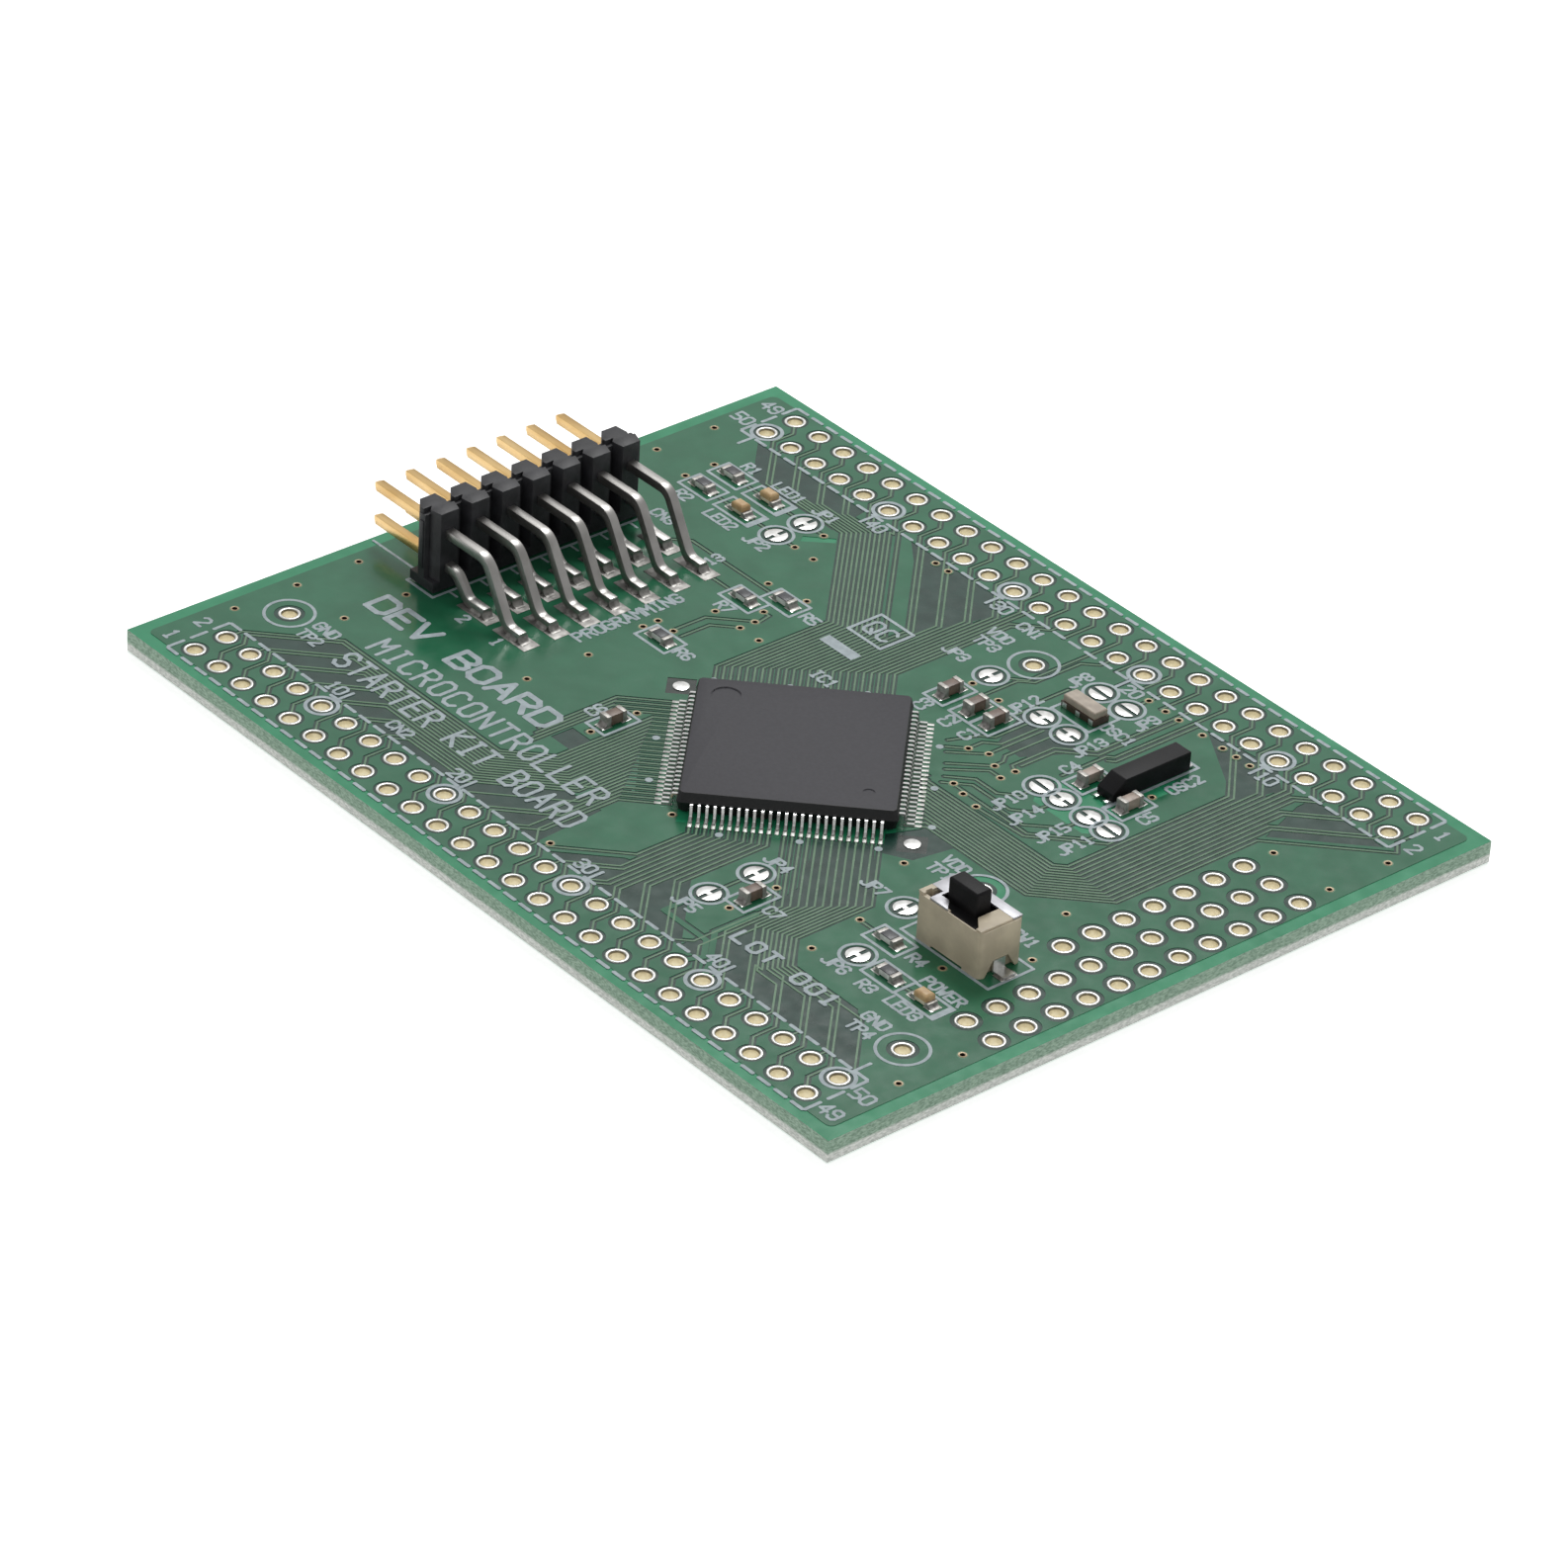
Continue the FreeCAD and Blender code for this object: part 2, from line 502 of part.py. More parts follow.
def build_switch():
    half_x = SWITCH_LENGTH / 2
    half_y = SWITCH_WIDTH / 2
    body = switch_block(-half_x, half_x, -half_y, half_y, SWITCH_BOTTOM, SWITCH_TOP)
    upright = [edge for edge in body.Edges if edge.BoundBox.ZLength > 1.0]
    body = body.makeFillet(0.40, upright)
    # Raised rims fill the two gaps in the cover plate.
    rim_top = SWITCH_TOP + PLATE_THICKNESS
    posts = [switch_block(-2.88, -2.40, -1.68, -0.62, SWITCH_TOP, rim_top),
             switch_block(2.40, 2.88, -1.68, 0.90, SWITCH_TOP, rim_top)]
    body = join([body] + posts)
    well = plinth(SWITCH_X, SWITCH_Y, WELL_LENGTH, WELL_WIDTH, SWITCH_FLOOR, SWITCH_TOP + 1)
    pocket = switch_block(-2.55, -2.05, -1.45, -0.95, TOP + 2.60, SWITCH_TOP + 1)
    slots = [switch_block(-1.45, 1.45, side * half_y - 0.2, side * half_y + 0.2,
                          SWITCH_BOTTOM, TOP + 0.18) for side in (-1, 1)]
    front_relief = switch_block(-0.15, 2.30, -1.65, -1.40, TOP + 2.40, SWITCH_TOP + 1)
    centre = terminal(-1, 0.25, CONTACT_WIDTH)
    outer = terminal(1, -0.95, CONTACT_WIDTH)
    cuts = [well, pocket, front_relief, end_arch(-1), end_arch(1), centre, outer] + slots
    # A moulded lip over one end of the well keeps the button's skirt in.
    lip = [(1.56, -0.78), (2.62, -1.66), (2.62, 0.90), (1.56, 0.90)]
    lip_points = [Vec(SWITCH_X + x, SWITCH_Y + y, LIP_BOTTOM) for x, y in lip]
    housing = join([body.cut(cuts), prism(lip_points, Vec(0, 0, rim_top - LIP_BOTTOM))])
    save("switch_housing", [housing])
    save("switch_center_contact", [centre])
    save("switch_outer_contact", [outer])
    save("switch_cover_plate", [cover_plate()])
    save("switch_dome", [dome()])
    save("switch_button", [button()])


# ---- resonator and crystal ----------------------------------------------------------------
def build_resonator():
    low = SEAT
    seam = low + RESONATOR_BASE_HEIGHT
    top = seam + RESONATOR_LID_HEIGHT
    length, width = RESONATOR_LENGTH, RESONATOR_WIDTH
    base = plinth(RESONATOR_X, RESONATOR_Y, length, width, low, seam)
    lid = plinth(RESONATOR_X, RESONATOR_Y, length - 0.2, width - 0.16, seam, top)
    lid = lid.makeFillet(0.12, [edge for edge in lid.Edges if edge.BoundBox.ZMin > top - 0.01])
    element = plinth(RESONATOR_X, RESONATOR_Y, length - 0.9, width - 0.6, seam - 0.15, seam + 0.15)
    terminals = []
    for offset in (-1.25, 0.0, 1.25):
        strap = plinth(RESONATOR_X + offset, RESONATOR_Y, RESONATOR_TERMINAL_WIDTH, width + 0.06,
                       low, seam - 0.05)
        core = plinth(RESONATOR_X + offset, RESONATOR_Y, RESONATOR_TERMINAL_WIDTH, width - 0.06,
                      low + 0.03, seam - 0.05)
        terminals.append(strap.cut(core))
    save("resonator_base", [base.cut(terminals + [element])])
    save("resonator_lid", [lid.cut(element)])
    save("resonator_element", [element])
    save("resonator_terminals", terminals)


def build_crystal():
    low, top = SEAT + 0.05, SEAT + CRYSTAL_HEIGHT
    y0 = CRYSTAL_Y - CRYSTAL_LENGTH / 2
    y1 = CRYSTAL_Y + CRYSTAL_LENGTH / 2
    side_view = [(y0, low), (y1, low), (y1, top), (y0 + CRYSTAL_NOSE, top), (y0, low + 0.55)]
    points = [Vec(CRYSTAL_X - CRYSTAL_WIDTH / 2, y, z) for y, z in side_view]
    body = prism(points, ALONG_X * CRYSTAL_WIDTH)
    can_start = Vec(CRYSTAL_X, CRYSTAL_Y - 1.4, (low + top) / 2)
    can = Part.makeCylinder(CRYSTAL_CAN_R, CRYSTAL_CAN_LENGTH, can_start, Vec(0, 1, 0))
    leads = []
    for x in (-0.45, 0.45):
        for side, end in ((-1, y0), (1, y1)):
            tab = [end - side * 0.5, end + side * 0.42]
            leads.append(block(CRYSTAL_X + x - 0.16, CRYSTAL_X + x + 0.16, min(tab), max(tab),
                               SEAT, SEAT + 0.17))
    save("crystal_body", [body.cut([can] + leads)])
    save("crystal_can", [can])
    save("crystal_leads", leads)


# ---- chip parts ---------------------------------------------------------------------------
def turned(shape, x, y, along_x):
    """Move a chip made along X at the origin to its place, turned if it lies along Y."""
    if not along_x:
        shape.rotate(Vec(0, 0, 0), UP, 90)
    shape.translate(Vec(x, y, 0))
    return shape


def end_caps(height):
    """The two metal ends of a chip, as shells wrapped round it."""
    caps = []
    for side in (-1, 1):
        x_out = side * CHIP_LENGTH / 2
        x_in = side * (CHIP_LENGTH / 2 - CHIP_CAP)
        outer = block(min(x_out, x_in), max(x_out, x_in), -CHIP_WIDTH / 2, CHIP_WIDTH / 2, SEAT, SEAT + height)
        core = chip_core(height)
        caps.append(outer.cut(core))
    return caps


def chip_core(height):
    """Body of a chip inside its end caps."""
    return plinth(0, 0, CHIP_LENGTH - 2 * CAP_SKIN, CHIP_WIDTH - 2 * CAP_SKIN,
                  SEAT + CAP_SKIN, SEAT + height - CAP_SKIN)


def build_chips():
    bare = CHIP_LENGTH - 2 * CHIP_CAP
    cores = [turned(chip_core(RESISTOR_HEIGHT), x, y, True) for x, y in RESISTORS]
    coat_low = SEAT + RESISTOR_HEIGHT - CAP_SKIN
    coatings = [plinth(x, y, bare, CHIP_WIDTH - 2 * CAP_SKIN, coat_low, coat_low + COATING_THICKNESS)
                for x, y in RESISTORS]
    caps = [turned(cap, x, y, True) for x, y in RESISTORS for cap in end_caps(RESISTOR_HEIGHT)]
    numbered("resistor", cores)
    save("resistor_coatings", coatings)
    save("resistor_end_caps", caps)
    numbered("capacitor", [turned(chip_core(CAPACITOR_HEIGHT), x, y, False) for x, y in CAPACITORS])
    caps = [turned(cap, x, y, False) for x, y in CAPACITORS for cap in end_caps(CAPACITOR_HEIGHT)]
    save("capacitor_end_caps", caps)


def build_leds():
    lens_low = SEAT + LED_BASE_HEIGHT - CAP_SKIN
    lens_top = lens_low + LED_LENS_HEIGHT
    bases = []
    lenses = []
    chips = []
    caps = []
    for x, y in LEDS:
        chip = plinth(x, y, 0.30, 0.30, lens_low, lens_low + 0.15)
        lens = plinth(x, y, LED_LENS_LENGTH, CHIP_WIDTH, lens_low + CAP_SKIN, lens_top)
        lens = lens.makeFillet(0.26, [edge for edge in lens.Edges if edge.BoundBox.ZMin > lens_top - 0.01])
        base = turned(chip_core(LED_BASE_HEIGHT), x, y, True)
        bases.append(base)
        chips.append(chip)
        seat = plinth(x, y, CHIP_LENGTH - 2 * CHIP_CAP, CHIP_WIDTH - 2 * CAP_SKIN, lens_low,
                      lens_low + CAP_SKIN)
        lenses.append(join([lens, seat]).cut(chip))
        caps += [turned(cap, x, y, True) for cap in end_caps(LED_BASE_HEIGHT)]
    numbered("led_base", bases)
    numbered("led_lens", lenses)
    save("led_chips", chips)
    save("led_end_caps", caps)


os.makedirs("parts", exist_ok=True)
build_board()
build_lands()
build_header()
build_processor()
build_switch()
build_resonator()
build_crystal()
build_chips()
build_leds()
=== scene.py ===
"""The looks of a microcontroller development board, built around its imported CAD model.

Lengths are in millimetres in the board's own frame: origin at the middle of the underside, Z up.
They become metres where a mesh is made.
"""
import math

import bmesh
import bpy
from mathutils import Matrix, Vector
from mathutils.geometry import delaunay_2d_cdt


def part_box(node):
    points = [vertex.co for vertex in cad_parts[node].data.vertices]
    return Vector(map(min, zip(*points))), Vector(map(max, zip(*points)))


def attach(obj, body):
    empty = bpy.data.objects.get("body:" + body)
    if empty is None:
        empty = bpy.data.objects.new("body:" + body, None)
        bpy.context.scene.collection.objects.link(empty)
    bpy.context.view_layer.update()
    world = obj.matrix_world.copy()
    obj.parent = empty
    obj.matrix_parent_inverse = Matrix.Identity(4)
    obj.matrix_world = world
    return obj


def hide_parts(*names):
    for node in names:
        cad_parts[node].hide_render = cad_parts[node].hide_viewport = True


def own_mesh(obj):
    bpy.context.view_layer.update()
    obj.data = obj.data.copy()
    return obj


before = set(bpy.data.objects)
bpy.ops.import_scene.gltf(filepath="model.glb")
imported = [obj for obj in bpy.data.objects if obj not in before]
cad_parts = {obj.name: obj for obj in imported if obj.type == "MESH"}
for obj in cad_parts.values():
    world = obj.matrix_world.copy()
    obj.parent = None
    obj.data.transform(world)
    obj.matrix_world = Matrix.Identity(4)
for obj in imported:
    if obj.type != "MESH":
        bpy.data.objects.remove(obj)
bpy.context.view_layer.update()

MM = 0.001
PITCH = 2.54
COLUMNS = 25
FIRST_PIN = -PITCH * (COLUMNS - 1) / 2
INNER_ROW = 22.86
OUTER_ROW = 25.40
EYELETS = ("connector_1_eyelets", "connector_2_eyelets", "prototype_eyelets", "test_point_eyelets")

HALF_X, HALF_Y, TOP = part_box("board_laminate")[1] / MM
COPPER = TOP + 0.016  # mask surface over copper
GAP = TOP - 0.014  # mask surface where there is no copper
INK = COPPER + 0.018  # top of the legend ink

CAD_WELD = 1e-6  # in metres: corners of a CAD mesh nearer than this are one
PIECE_WELD = 2e-7  # in metres: the same for a mesh made here
LEVEL = 1e-6  # heights nearer than this need no wall between them
CREASE = 38.0  # in degrees: flatter edges than this are shaded smooth
SOFTENED_CREASE = 32.0
HARD_EDGE = 30.0  # in degrees: sharper edges than this are rounded
FLAT = 1.0  # in degrees: faces that differ less are joined


# ---- reading the frame


def centre(node):
    low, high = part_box(node)
    return (low + high) / 2 / MM


def size(node):
    low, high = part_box(node)
    return (high - low) / MM


def islands(node):
    """(lowest, highest) corner of each separate solid of a CAD node, in order of x and then y."""
    bm = bmesh.new()
    bm.from_mesh(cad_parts[node].data)
    bmesh.ops.remove_doubles(bm, verts=bm.verts, dist=CAD_WELD)
    seen, found = set(), []
    for start in bm.verts:
        if start in seen:
            continue
        seen.add(start)
        stack, part = [start], []
        while stack:
            vert = stack.pop()
            part.append(vert.co / MM)
            for edge in vert.link_edges:
                other = edge.other_vert(vert)
                if other not in seen:
                    seen.add(other)
                    stack.append(other)
        found.append((Vector(map(min, zip(*part))), Vector(map(max, zip(*part)))))
    bm.free()
    return sorted(found, key=lambda c: (round(c[0].x, 2), round(c[0].y, 2)))


def middles(node):
    return [(low + high) / 2 for low, high in islands(node)]


# ---- materials


def linear(colour):
    """Scene-linear colour of a display colour given as 0 to 255."""
    values = [c / 255 for c in colour]
    return [c / 12.92 if c <= 0.04045 else ((c + 0.055) / 1.055) ** 2.4 for c in values] + [1.0]


class Paint:
    """A Principled material with object-space noise for its colour, gloss and fine relief."""

    def __init__(self, name, roughness, metal=0.0):
        self.material = bpy.data.materials.new(name)
        self.material.use_nodes = True
        self.tree = self.material.node_tree
        self.shader = self.tree.nodes["Principled BSDF"]
        self.shader.inputs["Roughness"].default_value = roughness
        self.shader.inputs["Metallic"].default_value = metal
        self.place = self.node("ShaderNodeTexCoord").outputs["Object"]

    def node(self, kind, **settings):
        made = self.tree.nodes.new(kind)
        for key, value in settings.items():
            setattr(made, key, value)
        return made

    def link(self, source, target):
        self.tree.links.new(source, target)

    def noise(self, grain, stretch=(1, 1, 1)):
        """Noise with features about grain mm across, longer where stretch is above 1."""
        mapping = self.node("ShaderNodeMapping")
        mapping.inputs["Scale"].default_value = [1 / (grain * MM * s) for s in stretch]
        self.link(self.place, mapping.inputs["Vector"])
        made = self.node("ShaderNodeTexNoise")
        made.inputs["Scale"].default_value = 1.0
        made.inputs["Detail"].default_value = 3.0
        self.link(mapping.outputs["Vector"], made.inputs["Vector"])
        return made.outputs["Fac"]

    def ramp(self, source, dark, light):
        """The darker colour where the noise is low and the lighter one where it is high."""
        made = self.node("ShaderNodeValToRGB")
        for element, place, colour in zip(made.color_ramp.elements, (0.35, 0.65), (dark, light)):
            element.position = place
            element.color = linear(colour)
        self.link(source, made.inputs["Fac"])
        return made.outputs["Color"]

    def rescaled(self, source, low, high, bottom=0.0, top=1.0):
        """bottom where the source is low or less, top where it is high or more, and between them a slope."""
        made = self.node("ShaderNodeMapRange")
        for socket, value in (("From Min", low), ("From Max", high), ("To Min", bottom), ("To Max", top)):
            made.inputs[socket].default_value = value
        self.link(source, made.inputs["Value"])
        return made.outputs["Result"]

    def colour(self, dark, light, grain):
        self.link(self.ramp(self.noise(grain), dark, light), self.shader.inputs["Base Color"])
        return self

    def gloss(self, smooth, rough, grain):
        self.link(self.rescaled(self.noise(grain), 0.3, 0.7, smooth, rough), self.shader.inputs["Roughness"])
        return self

    def relief(self, depth, grain):
        made = self.node("ShaderNodeBump")
        made.inputs["Distance"].default_value = depth * MM
        self.link(self.noise(grain), made.inputs["Height"])
        self.link(made.outputs["Normal"], self.shader.inputs["Normal"])
        return self

    def two_tone(self, axis, place, soft, first, second, grain, stretch=(1, 1, 1)):
        """One noisy colour below a place along an axis and another above it."""
        split = self.node("ShaderNodeSeparateXYZ")
        self.link(self.place, split.inputs["Vector"])
        mix = self.node("ShaderNodeMix", data_type="RGBA")
        share = self.rescaled(split.outputs[axis], (place - soft) * MM, (place + soft) * MM)
        self.link(share, mix.inputs["Factor"])
        cloud = self.noise(grain, stretch)
        for socket, pair in (("A", first), ("B", second)):
            target = [s for s in mix.inputs if s.name == socket and s.type == "RGBA"][0]
            self.link(self.ramp(cloud, *pair), target)
        result = [s for s in mix.outputs if s.type == "RGBA"][0]
        self.link(result, self.shader.inputs["Base Color"])
        return self


# Material name, roughness, metal, darker and lighter display colour, size of the colour's noise, and depth
# and size of the relief where there is one.
FINISHES = {
    "pour": ("mask_over_copper", 0.4, 0, (33, 98, 68), (40, 107, 76), 2.5, 0.0025, 0.5),
    "trace": ("mask_over_trace", 0.4, 0, (84, 120, 91), (96, 132, 101), 1.5),
    "gap": ("mask_over_laminate", 0.4, 0, (24, 55, 47), (32, 65, 56), 1.4, 0.002, 0.4),
    "bare": ("mask_no_copper", 0.4, 0, (34, 130, 90), (42, 142, 100), 3.0, 0.0025, 0.6),
    "dark": ("mask_window", 0.4, 0, (32, 42, 38), (44, 54, 48), 0.8),
    "ink": ("legend_ink", 0.55, 0, (145, 157, 162), (165, 178, 182), 0.5, 0.006, 0.12),
    "tin": ("tin_plate", 0.32, 0.8, (204, 204, 201), (228, 227, 223), 0.4, 0.008, 0.3),
    # Painted shade: a darker ring at the mouth of each eyelet.
    "mouth_shade": ("eyelet_mouth_painted_shade", 0.5, 0.3, (112, 104, 84), (150, 142, 118), 0.3),
    "via": ("via_copper", 0.4, 0.3, (146, 128, 100), (176, 156, 124), 0.2),
    # Painted shade: the inside wall of a via, its copper painted near black.
    "shaded_shaft": ("via_shaft_painted_shade", 0.6, 0, (34, 24, 16), (52, 38, 26), 0.3),
    "solder": ("solder", 0.42, 0.85, (112, 110, 107), (160, 158, 154), 0.35, 0.01, 0.4),
    "land": ("tinned_land", 0.28, 0.85, (206, 206, 203), (234, 234, 232), 0.5, 0.012, 0.5),
    "dull": ("processor_land", 0.45, 0.7, (150, 150, 146), (184, 184, 180), 0.5, 0.008, 0.2),
    "foot": ("header_land", 0.48, 0.75, (112, 110, 107), (166, 164, 160), 0.6),
    "housing": ("header_plastic", 0.5, 0, (32, 32, 35), (44, 44, 48), 1.0, 0.012, 0.18),
    "package": ("package_resin", 0.62, 0, (39, 38, 45), (44, 43, 50), 0.25, 0.006, 0.07),
    # Painted shade: the processor body's sides, the same resin as its top painted darker.
    "shaded_flank": ("package_flank_painted_shade", 0.55, 0, (18, 18, 20), (22, 22, 24), 0.4, 0.008, 0.1),
    "lead": ("package_lead", 0.14, 0.95, (200, 200, 198), (226, 226, 224), 0.6),
    "case": ("switch_case", 0.5, 0, (176, 164, 142), (196, 184, 160), 1.6, 0.01, 0.16),
    "cover": ("switch_cover", 0.5, 0.8, (164, 164, 168), (184, 184, 188), 1.2),
    "button": ("switch_button", 0.5, 0, (9, 8, 10), (15, 14, 16), 0.8, 0.008, 0.12),
    "ceramic": ("resonator_lid", 0.45, 0, (160, 148, 134), (184, 172, 156), 0.8, 0.008, 0.12),
    "base": ("resonator_base", 0.5, 0, (58, 46, 38), (82, 68, 56), 0.7, 0.01, 0.12),
    "crystal": ("crystal_resin", 0.5, 0, (12, 12, 14), (19, 19, 22), 1.2, 0.008, 0.12),
    "film": ("resistor_film", 0.4, 0, (40, 42, 46), (62, 64, 68), 0.5, 0.01, 0.2),
    "alumina": ("resistor_body", 0.45, 0, (196, 198, 194), (226, 228, 222), 0.5, 0.008, 0.1),
    "brown": ("capacitor_ceramic", 0.42, 0, (98, 81, 71), (120, 101, 89), 0.5, 0.008, 0.12),
    "pale": ("capacitor_pale", 0.42, 0, (150, 136, 124), (176, 160, 148), 0.5, 0.008, 0.12),
    "cap_metal": ("chip_end", 0.45, 0.5, (148, 145, 140), (186, 183, 178), 0.3, 0.01, 0.2),
    "led_board": ("led_board", 0.5, 0, (206, 196, 170), (228, 220, 196), 0.4, 0.006, 0.15),
    "lens": ("led_lens", 0.45, 0, (192, 156, 108), (216, 184, 136), 0.6),
    "silicon": ("silicon", 0.2, 0.4, (70, 74, 84), (98, 102, 112), 0.3),
    "copper": ("paddle_copper", 0.35, 0.9, (170, 110, 80), (206, 140, 104), 0.5),
}
# Smoothest and roughest gloss, and the size of its noise.
GLOSSES = {
    "pour": (0.15, 0.24, 1.2), "trace": (0.2, 0.3, 0.8), "gap": (0.16, 0.26, 0.9), "bare": (0.16, 0.26, 1.5),
    "dark": (0.2, 0.3, 0.9),
}
SOCKETS = [
    ("housing", "Specular IOR Level", 0.45), ("button", "Specular IOR Level", 0.18),
    ("crystal", "Specular IOR Level", 0.2), ("lens", "Transmission Weight", 0.15), ("lens", "IOR", 1.5),
    # Painted light: the eyelet's gold wall glows faintly.
    ("barrel", "Emission Color", linear((226, 214, 180))), ("barrel", "Emission Strength", 0.13),
]


def make_paints():
    """Every material of the board and what is mounted on it."""
    paints = {}
    for key, (name, roughness, metal, dark, light, grain, *relief) in FINISHES.items():
        paints[key] = Paint(name, roughness, metal).colour(dark, light, grain)
        if relief:
            paints[key].relief(*relief)
    for key, limits in GLOSSES.items():
        paints[key].gloss(*limits)
    # The board's edge is whiter below 0.62 mm and greener above it.
    lower_edge_tone, upper_edge_tone = ((176, 181, 175), (218, 220, 215)), ((100, 128, 109), (146, 170, 151))
    paints["edge"] = Paint("laminate_edge", 0.75)
    paints["edge"].two_tone("Z", 0.62, 0.1, lower_edge_tone, upper_edge_tone, 0.1, (2.6, 2.6, 1)).relief(0.04, 0.1)
    # Painted light: the eyelet's gold wall is near white deeper down and tan near the mouth, as if lit from
    # below.
    lit_deep_wall, shaded_upper_wall = ((244, 238, 216), (252, 249, 238)), ((188, 175, 138), (226, 216, 184))
    paints["barrel"] = Paint("gold_barrel_painted_light", 0.5)
    paints["barrel"].two_tone("Z", TOP - 0.32, 0.26, lit_deep_wall, shaded_upper_wall, 0.35).relief(0.01, 0.25)
    gold, tin = ((206, 168, 104), (228, 196, 138)), ((156, 154, 151), (176, 174, 171))
    gold_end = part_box("header_housing")[0].x / MM + 1.0
    paints["pin"] = Paint("header_pin", 0.36, 0.95).two_tone("X", gold_end, 0.4, gold, tin, 1.6, (3, 1, 1))
    for key, socket, value in SOCKETS:
        paints[key].shader.inputs[socket].default_value = value
    return {name: paint.material for name, paint in paints.items()}


PAINTS = make_paints()


# ---- meshes


def shade(mesh, angle=CREASE):
    mesh.polygons.foreach_set("use_smooth", [True] * len(mesh.polygons))
    mesh.set_sharp_from_angle(angle=math.radians(angle))


def settle(name, mesh, paints, stands_for, body="board"):
    """Links a finished mesh as a piece that rides on a body."""
    for paint in paints:
        mesh.materials.append(PAINTS[paint])
    piece = bpy.data.objects.new(name, mesh)
    bpy.context.scene.collection.objects.link(piece)
    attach(piece, body)
    if stands_for:
        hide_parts(*stands_for)
    return piece


def add_piece(name, verts, faces, paints, slot, indices, stands_for=(), angle=CREASE):
    """A piece from corners in millimetres, faces and a paint index for each face."""
    mesh = bpy.data.meshes.new(name)
    mesh.from_pydata([Vector(v) * MM for v in verts], [], faces)
    mesh.polygons.foreach_set("material_index", indices)
    bm = bmesh.new()
    bm.from_mesh(mesh)
    bmesh.ops.remove_doubles(bm, verts=bm.verts, dist=PIECE_WELD)
    bmesh.ops.recalc_face_normals(bm, faces=bm.faces)
    bm.to_mesh(mesh)
    bm.free()
    shade(mesh, angle)
    return settle(name, mesh, paints, stands_for)


def softened(node, paint, slot, width, segments=2, body="board"):
    """A copy of a CAD node with its hard edges rounded, which stands for the node."""
    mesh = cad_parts[node].data.copy()
    mesh.materials.clear()
    bm = bmesh.new()
    bm.from_mesh(mesh)
    bmesh.ops.remove_doubles(bm, verts=bm.verts, dist=CAD_WELD)
    bmesh.ops.dissolve_limit(bm, angle_limit=math.radians(FLAT), verts=bm.verts, edges=bm.edges)
    hard = [e for e in bm.edges if e.is_manifold and e.calc_face_angle(0.0) > math.radians(HARD_EDGE)]
    bmesh.ops.bevel(
        bm, geom=hard, offset=width * MM, offset_type="OFFSET", segments=segments,
        profile=0.5, affect="EDGES", clamp_overlap=True,
    )
    bmesh.ops.triangulate(bm, faces=[f for f in bm.faces if len(f.verts) > 4])
    bm.to_mesh(mesh)
    bm.free()
    mesh.polygons.foreach_set("material_index", [0] * len(mesh.polygons))
    if "custom_normal" in mesh.attributes:
        mesh.attributes.remove(mesh.attributes["custom_normal"])
    shade(mesh, SOFTENED_CREASE)
    return settle(node + "_fine", mesh, [paint], [node], body)


def disc(x, y, radius, count=32):
    turns = [2 * math.pi / count * k for k in range(count)]
    return [(x + radius * math.cos(t), y + radius * math.sin(t)) for t in turns]


def rectangle(x0, y0, x1, y1):
    return [(x0, y0), (x1, y0), (x1, y1), (x0, y1)]


def rounded(half_x, half_y, radius, count=6):
    """A rectangle with round corners about the origin."""
    outline = []
    for quarter, (sx, sy) in enumerate(((1, 1), (-1, 1), (-1, -1), (1, -1))):
        cx, cy = sx * (half_x - radius), sy * (half_y - radius)
        for k in range(count + 1):
            turn = math.pi / 2 * (quarter + k / count)
            outline.append((cx + radius * math.cos(turn), cy + radius * math.sin(turn)))
    return outline


def stroke(points, width):
    """A line of that width through the points, as one eight-sided outline for each straight run."""
    outlines = []
    for a, b in zip(points, points[1:]):
        a, b = Vector(a), Vector(b)
        if (b - a).length < 0.01:
            continue
        run = (b - a).normalized() * width / 2
        side = Vector((-run.y, run.x))
        tuck = math.tan(math.pi / 8)
        ends = [
            a - side - run * tuck, b - side + run * tuck, b + run - side * tuck, b + run + side * tuck,
            b + side + run * tuck, a + side - run * tuck, a - run + side * tuck, a - run - side * tuck,
        ]
        outlines.append([tuple(p) for p in ends])
    return outlines


def half_rings(x, y, radius, width, count=20):
    """A circular line of that width, as two half rings."""
    outlines = []
    for half in (0, 1):
        turns = [math.pi * (half + k / count) for k in range(count + 1)]
        rim = [(radius + width / 2, t) for t in turns] + [(radius - width / 2, t) for t in turns[::-1]]
        outlines.append([(x + r * math.cos(t), y + r * math.sin(t)) for r, t in rim])
    return outlines


def arrangement(shapes):
    """Triangles of the plane cut by labelled outlines that may overlap, and the labels over each one."""
    verts, faces, labels = [], [], []
    for label, outline in shapes:
        turns = sum(a[0] * b[1] - b[0] * a[1] for a, b in zip(outline, outline[1:] + outline[:1]))
        faces.append(list(range(len(verts), len(verts) + len(outline))))
        verts.extend(Vector(p) for p in (outline if turns > 0 else outline[::-1]))
        labels.append(label)
    points, _, cells, _, _, origins = delaunay_2d_cdt(verts, [], faces, 1, 1e-5, True)
    covers = [{labels[i] for i in origin} for origin in origins]
    return points, cells, covers


